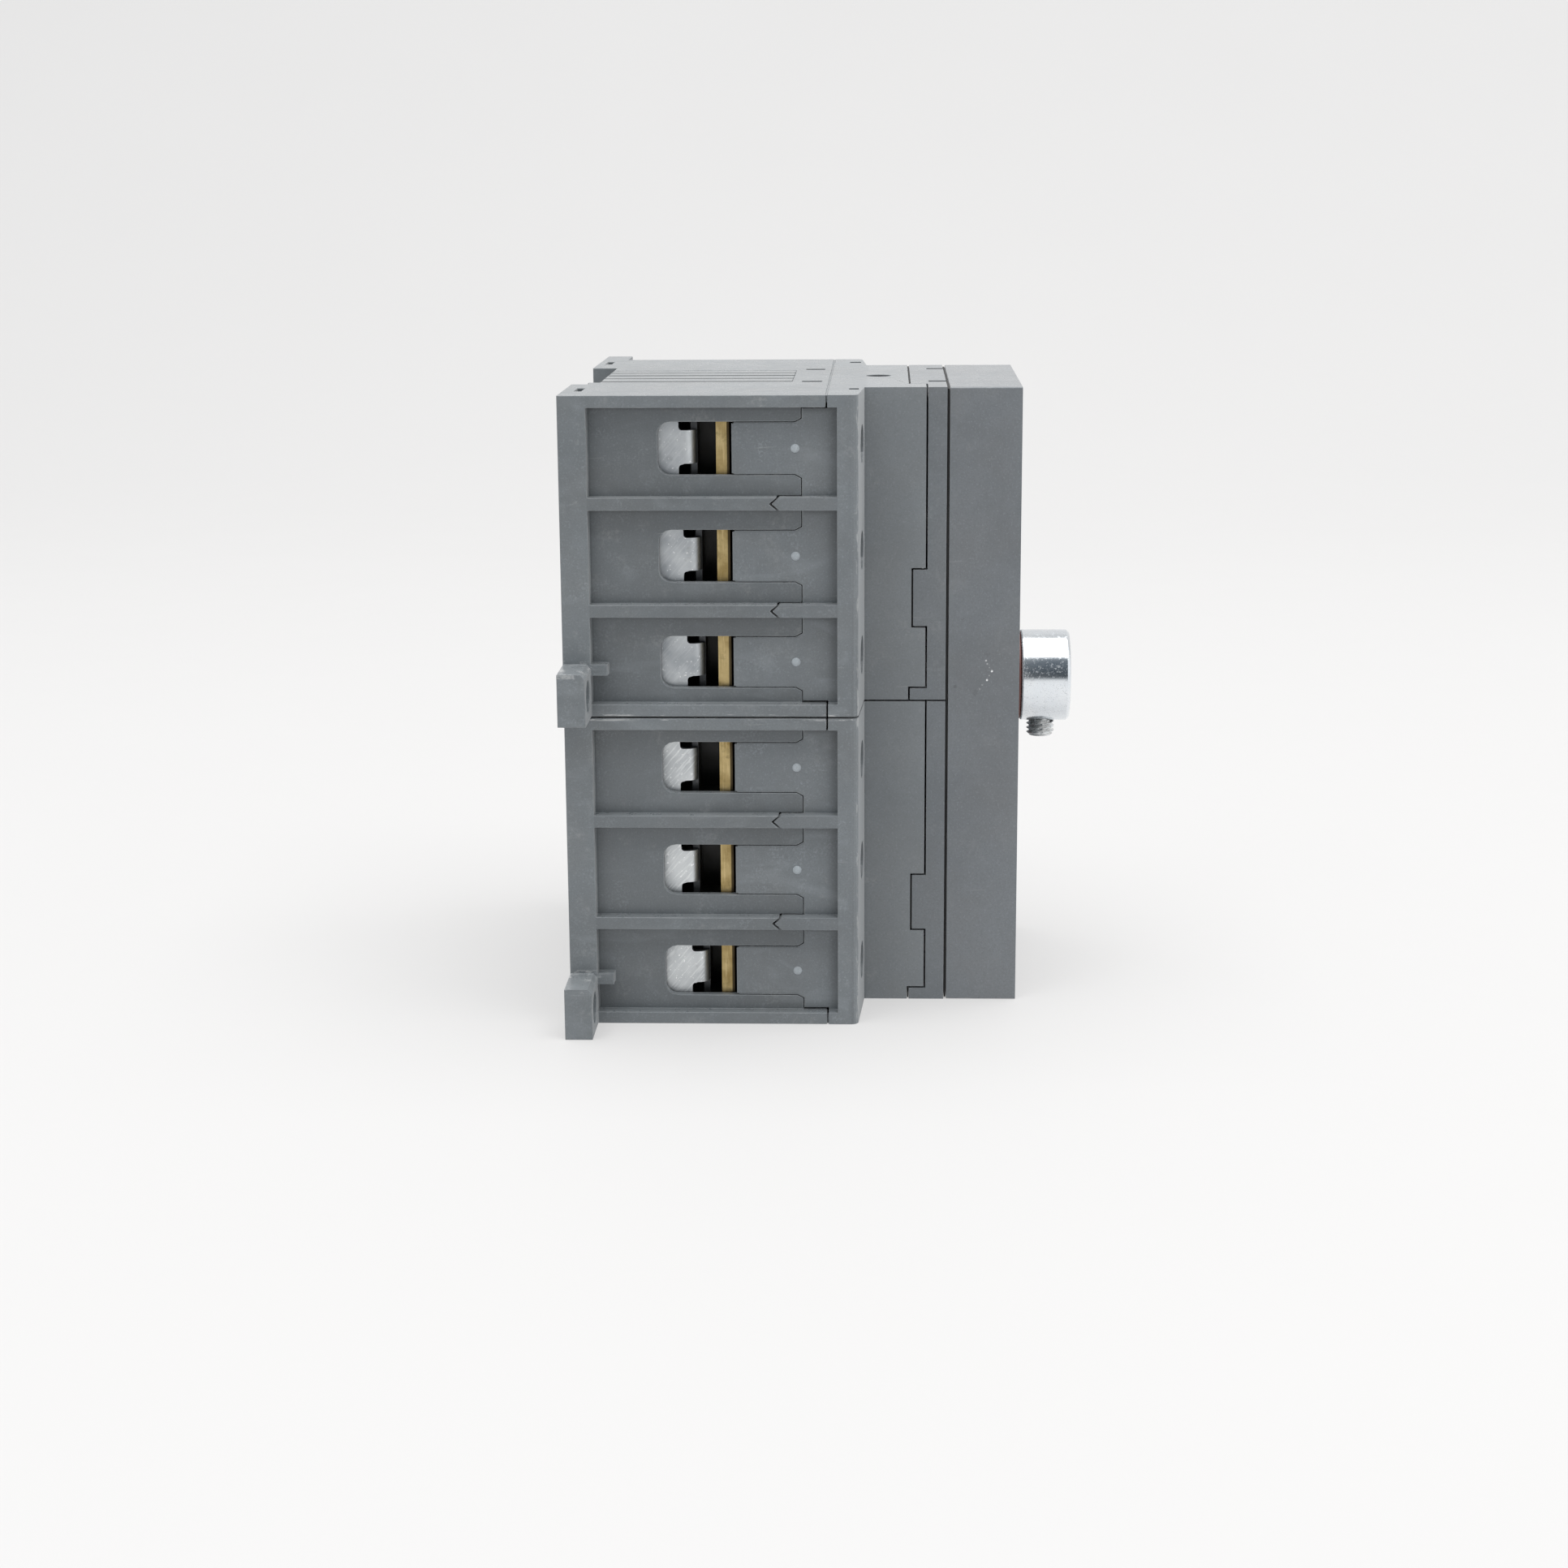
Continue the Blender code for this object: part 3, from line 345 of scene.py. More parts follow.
def brass(name):
    """Sheared brass strip with tarnish clouds and streaks along the cut."""
    m = Nodes(name)
    cloud = m.noise(230.0, 4.0, 0.6)
    streak = m.noise(1.0, 4.0, 0.6, where=m.place(scale=(2600.0, 900.0, 180.0)))
    colour = m.mix(m.remap(cloud, 0.3, 0.68), (0.37, 0.265, 0.105), (0.57, 0.44, 0.215))
    colour = m.mix(m.math("MULTIPLY", m.remap(streak, 0.5, 0.7), 0.55), colour, (0.76, 0.61, 0.33))
    tarnish = m.remap(m.noise(480.0, 5.0, 0.7, where=m.place(move=(0.2, 0.5, 0.1))), 0.55, 0.7)
    colour = m.mix(m.math("MULTIPLY", tarnish, 0.6), colour, (0.3, 0.23, 0.1))
    x, y, z = m.axes()
    # painted shade: the far edge of the bar is coloured dark brown
    colour = m.mix(m.remap(x, (27.0 - XC) * MM, (27.15 - XC) * MM, 0.0, 0.9), colour, (0.03, 0.022, 0.014))
    m.set(Base_Color=colour, Metallic=0.95, Roughness=m.remap(cloud, 0.3, 0.7, 0.5, 0.36))
    m.bump((streak, 0.35, 0.00006), (m.noise(2600.0, 3.0, 0.6), 0.3, 0.00003))
    return m.mat


def copper(name):
    m = Nodes(name)
    cloud = m.noise(260.0, 4.0, 0.6)
    colour = m.mix(m.remap(cloud, 0.3, 0.7), (0.62, 0.3, 0.17), (0.86, 0.5, 0.33))
    tarnish = m.remap(m.noise(600.0, 5.0, 0.7), 0.55, 0.72)
    colour = m.mix(m.math("MULTIPLY", tarnish, 0.6), colour, (0.2, 0.1, 0.06))
    m.set(Base_Color=colour, Metallic=0.95, Roughness=m.remap(cloud, 0.3, 0.7, 0.45, 0.3))
    m.bump((cloud, 0.3, 0.0001), (m.noise(2600.0, 3.0, 0.6), 0.3, 0.00003))
    return m.mat


def smooth_plastic(name, base, rough=0.4, spread=0.12):
    """Plain small mouldings: ring, spindle, slides, clips."""
    m = Nodes(name, ior=1.5)
    cloud = m.noise(180.0, 4.0, 0.6)
    grain = m.noise(2800.0, 3.0, 0.6)
    colour = m.mix(m.remap(cloud, 0.3, 0.7), scaled(base, 1 - spread), scaled(base, 1 + spread))
    colour = m.mix(m.math("MULTIPLY", m.remap(grain, 0.5, 0.8), 0.3), colour, scaled(base, 0.75))
    rub = m.remap(m.noise(700.0, 5.0, 0.7), 0.6, 0.75)
    colour = m.mix(m.math("MULTIPLY", rub, 0.2), colour, scaled(base, 1.5))
    m.set(Base_Color=colour, Roughness=m.remap(cloud, 0.3, 0.7, rough - 0.06, rough + 0.1))
    m.bump((cloud, 0.15, 0.0001), (grain, 0.3, 0.00003))
    return m.mat


REAR = (0.157, 0.173, 0.183)
FRONT = (0.162, 0.178, 0.189)
CAP = (0.158, 0.172, 0.184)
COVER = (0.165, 0.178, 0.190)



def scuff(centre, soft, amount, scale):
    return ([c[0] for c in centre], [c[1] for c in centre], soft, amount, scale)


REAR_SCUFFS = [
    scuff(((22.0, 24.0), (36.6, 3.0), (52.6, 0.45)), 0.2, 0.42, (160.0, 500.0, 900.0)),
    scuff(((2.4, 2.6), (43.0, 4.6), (8.65, 0.5)), 0.3, 0.35, (500.0, 300.0, 900.0)),
    scuff(((2.4, 2.6), (43.0, 4.6), (61.4, 0.5)), 0.3, 0.35, (500.0, 300.0, 900.0)),
]
FRONT_SCUFFS = [
    scuff(((48.75, 0.4), (37.9, 0.9), (52.6, 52.7)), 0.5, 0.3, (900.0, 900.0, 260.0)),
    scuff(((45.0, 4.0), (38.0, 1.0), (52.6, 0.4)), 0.2, 0.6, (160.0, 500.0, 900.0)),
]
CHIPS = (
    ((69.75, -23.75, 59.46), 0.07, 0.8, (0.75, 0.75, 0.75)),
    ((69.95, -23.75, 58.9), 0.06, 0.6, (0.6, 0.6, 0.6)),
    ((70.3, -23.75, 58.3), 0.05, 0.5, (0.5, 0.5, 0.5)),
    ((70.72, -23.75, 57.66), 0.12, 1.0, (0.95, 0.95, 0.95)),
    ((70.3, -23.75, 56.9), 0.05, 0.5, (0.5, 0.5, 0.5)),
    ((69.92, -23.75, 56.13), 0.1, 0.95, (0.9, 0.9, 0.9)),
    ((69.1, -23.75, 55.25), 0.06, 0.6, (0.5, 0.5, 0.5)),
    ((68.7, -23.75, 54.6), 0.1, 0.4, (0.42, 0.42, 0.42)),
    ((68.0, -23.75, 54.0), 0.45, 0.22, (0.06, 0.06, 0.065)),
    ((64.6, -23.75, 55.0), 0.22, 0.35, (0.06, 0.06, 0.065)),
    ((65.73, -23.75, 66.6), 0.2, 0.3, (0.06, 0.06, 0.065)),
    ((69.9, -23.75, 60.6), 0.5, 0.16, (0.07, 0.07, 0.075)),
    ((72.0, -23.75, 50.0), 0.2, 0.15, (0.4, 0.4, 0.4)),
)

REAR_SLITS = ((38.6, 42.0, -12.7, -10.4), (38.6, 42.0, 13.4, 15.7))
FRONT_SLITS = ((46.2, 48.2, 29.5, 31.9), (46.8, 48.4, -28.0, -25.7), (49.4, 53.7, -2.15, 2.15))
CAP_SLITS = ((60.0, 63.5, 14.1, 16.3), (60.0, 63.5, -12.9, -10.7))

MAT = {
    "rear": plastic("case_plastic", REAR, 0.41, 0.55, REAR_SCUFFS, painted_shade_inside=True, slits=REAR_SLITS, recess_dust_and_shade=0.24),
    # the *_edge materials for the bevels are lighter copies of the base: painted highlight on the edges, plus wear
    "rear_edge": plastic("case_plastic_worn_and_highlit_edges", scaled(REAR, 1.02), 0.42, 0.3, edge=True, sheen=0.3),
    "front": plastic("front_plastic", FRONT, 0.41, 0.35, FRONT_SCUFFS, painted_shade_inside=True, slits=FRONT_SLITS, lighter=(49.3, 60.0, 24.5, 0.034), recess_dust_and_shade=0.0),
    "front_edge": plastic("front_plastic_worn_and_highlit_edges", scaled(FRONT, 1.04), 0.42, 0.3, edge=True, sheen=0.3),
    "cap": plastic("cap_plastic", CAP, 0.41, 0.22, slits=CAP_SLITS),
    "cap_edge": plastic("cap_plastic_worn_and_highlit_edges", scaled(CAP, 1.08), 0.42, 0.2, edge=True),
    "cover": plastic("cover_plastic", COVER, 0.41, 0.2, chips=CHIPS),
    "cover_edge": plastic("cover_plastic_worn_and_highlit_edges", scaled(COVER, 1.06), 0.42, 0.2, edge=True),
    # painted shade: a much darker copy of the case plastic for the sides of the end-panel ribs
    "groove": plastic("case_plastic_painted_groove_shade", scaled(REAR, 0.22), 0.7, 0.05, sheen=0.0),
    # painted shade: near-black material for the strips that darken the seams
    "seam": plastic("seam_painted_shade", (0.009, 0.009, 0.009), 0.7, 0.03, sheen=0.0),
    "pin": plastic("ejector_mark", scaled(FRONT, 2.25), 0.5, 0.9),
    "zinc": zinc("zinc_plated_sheet"),
    "screw": screw_steel("plated_screw"),
    "grub": screw_steel("grub_screw_steel", (0.82, 0.83, 0.83), 0.27),
    "coupler": bright_steel("turned_bright_steel"),
    "link": screw_steel("punched_steel_strip", (0.55, 0.55, 0.55), 0.38),
    "brass": brass("tarnished_brass"),
    "copper": copper("contact_copper"),
    "ring": smooth_plastic("ring_moulding", (0.15, 0.05, 0.04), 0.5),
    "black": smooth_plastic("black_moulding", (0.02, 0.02, 0.022), 0.42),
    "white": smooth_plastic("natural_white_moulding", (0.68, 0.68, 0.65), 0.42, 0.06),
}


# ---------------------------------------------------------- carried-over nodes
def dress(name, material, width=0.2, edge=None, segments=2, angle=32):
    """New material and softened edges on a CAD node, by modifiers only."""
    obj = NODES[name]
    if not obj.material_slots:
        obj.data.materials.append(MAT[material])
    obj.material_slots[0].link = "OBJECT"
    obj.material_slots[0].material = MAT[material]
    index = 0
    if edge:
        obj.data.materials.append(None)
        index = len(obj.material_slots) - 1
        obj.material_slots[index].link = "OBJECT"
        obj.material_slots[index].material = MAT[edge]
    weld = obj.modifiers.new("weld", "WELD")
    weld.merge_threshold = 2e-6
    if width:
        soft = obj.modifiers.new("soft_edges", "BEVEL")
        soft.width = width * MM
        soft.segments = segments
        soft.limit_method = "ANGLE"
        soft.angle_limit = math.radians(angle)
        soft.miter_outer = "MITER_ARC"
        soft.use_clamp_overlap = True
        soft.harden_normals = True
        soft.material = index if edge else -1
    return obj


for tag in ("lower", "upper"):
    dress(f"rear_housing_{tag}", "rear", 0.13, "rear_edge")
    dress(f"front_housing_{tag}", "front", 0.13, "front_edge")
    dress(f"front_cap_{tag}", "cap", 0.1, "cap_edge")
    dress(f"contact_slide_{tag}", "white", 0.15)
    dress(f"drive_crank_{tag}", "white", 0.15)
    dress(f"rail_clip_{tag}", "black", 0.2)
dress("mechanism_cover", "cover", 0.28, "cover_edge", 3)
dress("operating_spindle", "black", 0.15)
dress("link_bar", "link", 0.15)
for n in range(1, 7):
    dress(f"moving_contact_{n}", "copper", 0.12)
    for side in ("line", "load"):
        dress(f"terminal_bar_{side}_{n}", "brass", 0.12)
        dress(f"clamp_screw_{side}_{n}", "screw", 0.15)


# ------------------------------------------------------------------ new pieces
def add(name, bm, material, body, stands_for=(), smooth_angle=35.0):
    mesh = bpy.data.meshes.new(name)
    bm.to_mesh(mesh)
    bm.free()
    mesh.materials.append(MAT[material])
    mesh.shade_smooth()
    mesh.set_sharp_from_angle(angle=math.radians(smooth_angle))
    obj = bpy.data.objects.new(name, mesh)
    bpy.context.scene.collection.objects.link(obj)
    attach(obj, body)
    if stands_for:
        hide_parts(*stands_for)
    return obj


def box_into(bm, x0, x1, y0, y1, z0, z1):
    made = bmesh.ops.create_cube(bm, size=1.0)["verts"]
    for v in made:
        v.co = Vector(((x0 + x1) / 2 + v.co.x * (x1 - x0), (y0 + y1) / 2 + v.co.y * (y1 - y0), (z0 + z1) / 2 + v.co.z * (z1 - z0)))
    return made


def sheet_frame(bm, x0, x1, y0, y1, z0, z1, wall, top, radius, hole):
    """Cage ring bent from strip: rounded outside corners, window through Y."""
    outer, inner = [], []
    steps = 5
    corners = ((x1, z1, 0), (x0, z1, 90), (x0, z0, 180), (x1, z0, 270))
    for cx, cz, start in corners:
        sx, sz = (-1 if cx == x1 else 1), (-1 if cz == z1 else 1)
        ox, oz = cx + sx * radius, cz + sz * radius
        for k in range(steps + 1):
            a = math.radians(start + 90.0 * k / steps)
            outer.append((ox + radius * math.cos(a), oz + radius * math.sin(a)))
        ix = (x1 - top if cx == x1 else x0 + wall)
        iz = cz + sz * wall
        r = 0.35
        jx, jz = ix + sx * r, iz + sz * r
        for k in range(steps + 1):
            a = math.radians(start + 90.0 * k / steps)
            inner.append((jx + r * math.cos(a), jz + r * math.sin(a)))
    lip = 0.18
    rings = []
    for y, grow in ((y0, 1), (y0 + lip, 0), (y1 - lip, 0), (y1, 1)):
        o = [bm.verts.new((x + (0 if not grow else math.copysign(0.0, 1)), y, z)) for x, z in
             [(px - (lip if grow else 0) * math.copysign(1, px - (x0 + x1) / 2) * (abs(px - (x0 + x1) / 2) > (x1 - x0) / 2 - radius - 1e-6),
               pz - (lip if grow else 0) * math.copysign(1, pz) * (abs(pz) > z1 - radius - 1e-6)) for px, pz in outer]]
        i = [bm.verts.new((x, y, z)) for x, z in inner]
        rings.append((o, i))
    n = len(outer)
    for a, b in zip(rings, rings[1:]):
        for k in range(n):
            j = (k + 1) % n
            bm.faces.new((a[0][k], a[0][j], b[0][j], b[0][k]))
            bm.faces.new((a[1][j], a[1][k], b[1][k], b[1][j]))
    for (o, i), flip in ((rings[0], False), (rings[-1], True)):
        for k in range(n):
            j = (k + 1) % n
            face = (o[k], i[k], i[j], o[j])
            bm.faces.new(face if not flip else tuple(reversed(face)))


def cage_piece(name, number, side, face, seed):
    """Clamp cage in local millimetres: clamping face at x = 0, screw axis at y = z = 0, flange towards -Y."""
    bm = bmesh.new()
    sheet_frame(bm, -1.2, 14.0, -3.0, 3.0, -6.4, 6.4, 1.2, 3.0, 1.1, 2.8)

    # flange and its bend, as one strip laid along s: out of the bottom plate, round the bend, down the flange
    t = 1.1
    bend = 1.35
    y_flat = -4.5
    straight = 0.4
    path = []
    x_mid = -0.6
    y_start = -2.6
    y_bend = y_flat + bend
    path.append((x_mid, y_start, 0.0, -1.0))
    path.append((x_mid, y_bend, 0.0, -1.0))
    for k in range(1, 9):
        a = math.radians(90.0 * k / 8)
        path.append((x_mid - bend + bend * math.cos(a), y_bend - bend * math.sin(a), -math.sin(a), -math.cos(a)))
    x_bent = x_mid - bend
    notch = -2.9
    r_in, r_out = 0.55, 0.5
    stations = []
    for x, y, dx, dy in path:
        stations.append((x, y, dx, dy, 2.75, 2.65))
    x = x_bent - straight
    end = -9.45
    wide = 5.15
    stations.append((-2.3, y_flat, -1.0, 0.0, 2.75, 2.78))
    for k in range(0, 7):
        a = math.radians(90.0 * k / 6)
        stations.append((notch + r_in - r_in * math.sin(a) + 0.0, y_flat, -1.0, 0.0,
                         2.75 + r_in * (1 - math.cos(a)), 2.8 + r_in * (1 - math.cos(a))))
    for k in range(0, 7):
        a = math.radians(90.0 * k / 6)
        stations.append((notch - r_out * (1 - math.cos(a)) - 0.01, y_flat, -1.0, 0.0,
                         wide - r_out + r_out * math.sin(a), wide - r_out + r_out * math.sin(a)))
    corner = 1.9
    for k in range(0, 9):
        a = math.radians(90.0 * k / 8)
        w = wide - corner + corner * math.cos(a)
        stations.append((end + corner - corner * math.sin(a), y_flat, -1.0, 0.0, w, w))
    columns = 14
    outer, inner = [], []
    for sx, sy, dx, dy, up, low in stations:
        nx, ny = dy, -dx
        row_a, row_b = [], []
        for c in range(columns + 1):
            u = c / columns
            z = -low + (up + low) * u
            wob = noise.noise(Vector((sx * 0.45 + seed * 7.3, z * 0.45, seed * 1.7))) * 0.05 if sx < -2.2 else 0.0
            row_a.append(bm.verts.new((sx + nx * (t / 2 + wob), sy + ny * (t / 2 + wob), z)))
            row_b.append(bm.verts.new((sx - nx * t / 2, sy - ny * t / 2, z)))
        outer.append(row_a)
        inner.append(row_b)
    rows = len(stations)
    for r in range(rows - 1):
        for c in range(columns):
            bm.faces.new((outer[r][c], outer[r + 1][c], outer[r + 1][c + 1], outer[r][c + 1]))
            bm.faces.new((inner[r][c], inner[r][c + 1], inner[r + 1][c + 1], inner[r + 1][c]))
        for c, turn in ((0, False), (columns, True)):
            quad = (outer[r][c], inner[r][c], inner[r + 1][c], outer[r + 1][c])
            bm.faces.new(tuple(reversed(quad)) if turn else quad)
    for r, turn in ((0, True), (rows - 1, False)):
        for c in range(columns):
            quad = (outer[r][c], inner[r][c], inner[r][c + 1], outer[r][c + 1])
            bm.faces.new(tuple(reversed(quad)) if not turn else quad)
    bmesh.ops.recalc_face_normals(bm, faces=bm.faces)

    z0 = BLOCK_Z[number // 3] + POLE_Z[number % 3]
    turn = Matrix.Identity(4) if side == "line" else Matrix.Rotation(math.pi, 4, "X")
    sign = -1 if side == "line" else 1
    here = Matrix.Translation(P(face, sign * TERMINAL_Y, z0)) @ turn @ Matrix.Scale(MM, 4)
    bmesh.ops.transform(bm, matrix=here, verts=bm.verts)
    obj = add(name, bm, "zinc", f"cage_{side}_{number + 1}", (f"clamp_cage_{side}_{number + 1}",), 40.0)
    soft = obj.modifiers.new("soft_edges", "BEVEL")
    soft.width = 0.1 * MM
    soft.segments = 2
    soft.limit_method = "ANGLE"
    soft.angle_limit = math.radians(50)
    return obj


def node_low_high(name):
    low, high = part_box(name)
    return low, high


for n in range(6):
    for side in ("line", "load"):
        low, high = node_low_high(f"clamp_cage_{side}_{n + 1}")
        face = high.x / MM + XC - 14.0
        cage_piece(f"cage_sheet_{side}_{n + 1}", n, side, face, n + (0 if side == "line" else 10))

# ejector marks on the tongues, on both terminal sides
for n in range(6):
    z = BLOCK_Z[n // 3] + POLE_Z[n % 3]
    for side, sign in (("line", -1), ("load", 1)):
        bm = bmesh.new()
        profile = [(0.0, 0.26), (0.3, 0.25), (0.5, 0.21), (0.62, 0.13), (0.72, 0.04), (0.8, -0.08)]
        segs = 24
        rings = []
        for r, h in profile:
            if r == 0.0:
                rings.append([bm.verts.new((0, -h, 0))])
            else:
                rings.append([bm.verts.new((r * math.cos(math.tau * k / segs), -h, r * math.sin(math.tau * k / segs))) for k in range(segs)])
        for k in range(segs):
            j = (k + 1) % segs
            bm.faces.new((rings[0][0], rings[1][k], rings[1][j]))
            for a, b in zip(rings[1:], rings[2:]):
                bm.faces.new((a[k], b[k], b[j], a[j]))
        bm.faces.new(list(reversed(rings[-1])))
        bmesh.ops.recalc_face_normals(bm, faces=bm.faces)
        turn = Matrix.Identity(4) if sign < 0 else Matrix.Rotation(math.pi, 4, "Z")
        here = Matrix.Translation(P(38.2, sign * 36.13, z)) @ turn @ Matrix.Scale(MM, 4)
        bmesh.ops.transform(bm, matrix=here, verts=bm.verts)
        add(f"ejector_mark_{side}_{n + 1}", bm, "pin", "case")


# low ribs in the shallow panel of both outer end walls, with painted shade on their sides from a much darker copy of
# the case plastic
def end_ribs(name, top):
    bm = bmesh.new()
    base, floor_z, tip = 105.2 - 0.195, 105.2 - 0.14, 105.2 - 0.03
    section, shaded = [(-11.9, base), (-11.9, floor_z)], []
    for y0, y1 in ((-10.6, -5.2), (-4.4, 0.9), (2.0, 6.7), (7.3, 11.8)):
        shaded += [len(section) - 1, len(section)]
        section += [(y0, floor_z), (y0 + 0.1, tip), (y1 - 0.1, tip), (y1, floor_z)]
    shaded += [len(section) - 1]
    section += [(12.4, floor_z), (12.4, base)]
    ends = []
    for x in (4.5, 36.9):
        ends.append([bm.verts.new(P(x, y, z)) for y, z in section])
    count = len(section)
    for k in range(count):
        j = (k + 1) % count
        face = bm.faces.new((ends[0][k], ends[0][j], ends[1][j], ends[1][k]))
        face.material_index = 1 if k in shaded else 0
    bm.faces.new(ends[0])
    bm.faces.new(list(reversed(ends[1])))
    if not top:
        turn = Matrix.Translation((0, 0, 105.2 * MM)) @ Matrix.Rotation(math.pi, 4, "X")
        bmesh.ops.transform(bm, matrix=turn, verts=bm.verts)
    bmesh.ops.recalc_face_normals(bm, faces=bm.faces)
    obj = add(name, bm, "rear", "case", smooth_angle=20.0)
    obj.data.materials.append(MAT["groove"])


end_ribs("end_panel_ribs_upper", True)
end_ribs("end_panel_ribs_lower", False)


# what shows in the narrow seams: lips of the mouldings, and near-black strips of painted shade deep in the gaps
def strips(name, material, body, *boxes):
    bm = bmesh.new()
    for x0, x1, y0, y1, z0, z1 in boxes:
        made = box_into(bm, x0, x1, y0, y1, z0, z1)
        for v in made:
            v.co = P(*v.co)
    obj = add(name, bm, material, body, smooth_angle=30.0)
    soft = obj.modifiers.new("soft_edges", "BEVEL")
    soft.width = 0.04 * MM
    soft.segments = 2
    return obj


strips("block_seam_lips", "front", "case", *[
    (43.17, 43.43, y0, y1, lo, hi) for lo, hi in ((104.0, 105.13), (0.07, 1.2))
    for y0, y1 in ((-37.9, -12.1), (-12.0, 12.9), (13.0, 37.9))])
strips("cap_seam_shade_strips", "seam", "case",
       (56.69, 56.91, -16.8, 3.0, 103.8, 105.0), (56.69, 56.91, 3.1, 23.5, 103.8, 105.0),
       (56.69, 56.91, -23.5, -3.1, 0.2, 1.4), (56.69, 56.91, -3.0, 16.8, 0.2, 1.4))
strips("cap_tab_seam_shade_strips", "seam", "case", *[
    box for zb in BLOCK_Z for box in (
        (57.19, 57.41, -23.4, -22.4, zb + 12.7, zb + 22.0),
        (57.19, 57.41, 22.4, 23.4, zb + 52.45 - 22.0, zb + 52.45 - 12.7))])
strips("cover_seam_shade_strip", "seam", "case",
       (63.02, 63.33, -23.45, -22.4, 0.3, 104.9), (63.02, 63.33, 22.4, 23.45, 0.3, 104.9),
       (63.02, 63.33, -22.4, 22.4, 0.3, 1.3), (63.02, 63.33, -22.4, 22.4, 103.9, 104.9))


# thin shoulders of the front mouldings that close the U-shaped seams to a hairline
def tongue_lips(name, side):
    bm = bmesh.new()
    near, far = 36.1 * side, 35.3 * side
    for zb in BLOCK_Z:
        for i, (zc, (z0, z1)) in enumerate(zip(POLE_Z, BAY_Z)):
            for up, reach in ((1, z1 - zc - (0.3 if i == 2 else 0.02)), (-1, zc - z0 - (0.3 if i == 0 else 0.02))):
                kept = ((28.3, 3.9), (38.28, 3.9), (39.55, 4.6), (39.55, reach))
                free = ((28.3, 4.17), (38.206, 4.17), (39.28, 4.76), (39.28, reach))
                rows = []
                for y in (near, far):
                    rows.append([[bm.verts.new(P(x, y, zb + zc + up * z)) for x, z in line] for line in (kept, free)])
                (a_in, a_out), (b_in, b_out) = rows
                for k in range(3):
                    for quad in ((a_in[k], a_in[k + 1], a_out[k + 1], a_out[k]), (b_in[k], b_out[k], b_out[k + 1], b_in[k + 1]),
                                 (a_out[k], a_out[k + 1], b_out[k + 1], b_out[k]), (a_in[k], b_in[k], b_in[k + 1], a_in[k + 1])):
                        bm.faces.new(quad).material_index = 1 if k else 0
                for k in (0, 3):
                    bm.faces.new((a_in[k], a_out[k], b_out[k], b_in[k])).material_index = 1 if k else 0
    bmesh.ops.recalc_face_normals(bm, faces=bm.faces)
    obj = add(name, bm, "front", "case", smooth_angle=20.0)
    obj.data.materials.append(MAT["front_edge"])
    return obj


tongue_lips("tongue_lips_line", -1)
tongue_lips("tongue_lips_load", 1)


# coupler, ring and grub screw as fine turned meshes
def lathe(profile, segs=160):
    """Closed (radius, x) profile in mm turned about the spindle axis, pointing to +X."""
    bm = bmesh.new()
    rows = []
    for r, x in profile:
        rows.append([bm.verts.new((x, r * math.cos(math.tau * k / segs), r * math.sin(math.tau * k / segs))) for k in range(segs)])
    count = len(rows)
    for i in range(count):
        a, b = rows[i], rows[(i + 1) % count]
        for k in range(segs):
            j = (k + 1) % segs
            bm.faces.new((a[k], a[j], b[j], b[k]))
    bmesh.ops.recalc_face_normals(bm, faces=bm.faces)
    return bm


def arc(cx, cy, r, a0, a1, steps):
    return [(cx + r * math.cos(math.radians(a0 + (a1 - a0) * k / steps)), cy + r * math.sin(math.radians(a0 + (a1 - a0) * k / steps)))
            for k in range(steps + 1)]


ring_low, ring_high = node_low_high("spindle_ring")
coup_low, coup_high = node_low_high("shaft_coupler")
ring_x = (ring_low.x / MM + XC, ring_high.x / MM + XC)
coup_x = (coup_low.x / MM + XC, coup_high.x / MM + XC)

front, back, R, bore = coup_x[1], coup_x[0] - 0.22, 8.0, 5.9
profile = [(bore, back + 0.15)]
profile += [(bore + 0.15, back)]
profile += arc(R - 0.3, back + 0.3, 0.3, -90, 0, 4)
profile += [(R, back + 0.4), (R, front - 0.62)]
profile += [(R, front - 0.55), (R - 0.05, front - 0.44), (R - 0.42, front - 0.07), (R - 0.55, front)]
profile += [(bore + 0.45, front), (bore + 0.3, front - 0.06), (bore, front - 0.4)]
bm = lathe(profile)
bmesh.ops.transform(bm, matrix=Matrix.Translation(P(0, 0, SPINDLE_Z)) @ Matrix.Scale(MM, 4), verts=bm.verts)
coupler = add("coupler_body", bm, "coupler", "spindle", ("shaft_coupler",), 30.0)


def cut_round(target, centre, radius, depth, segs=48):
    """Cuts a radial hole along Z into a mesh and keeps the result as its mesh."""
    bm = bmesh.new()
    bmesh.ops.create_cone(bm, cap_ends=True, segments=segs, radius1=radius * MM, radius2=radius * MM, depth=depth * MM)
    tool_mesh = bpy.data.meshes.new("tool")
    bm.to_mesh(tool_mesh)
    bm.free()
    tool = bpy.data.objects.new("tool", tool_mesh)
    bpy.context.scene.collection.objects.link(tool)
    tool.location = centre
    cut = target.modifiers.new("hole", "BOOLEAN")
    cut.object = tool
    cut.operation = "DIFFERENCE"
    cut.solver = "EXACT"
    bpy.context.view_layer.update()
    baked = bpy.data.meshes.new_from_object(target.evaluated_get(bpy.context.evaluated_depsgraph_get()))
    target.modifiers.clear()
    old = target.data
    target.data = baked
    bpy.data.meshes.remove(old)
    bpy.data.objects.remove(tool, do_unlink=True)
    target.data.shade_smooth()
    target.data.set_sharp_from_angle(angle=math.radians(30))


cut_round(coupler, P(80.3, 0, SPINDLE_Z - 6.5), 2.62, 7.0)

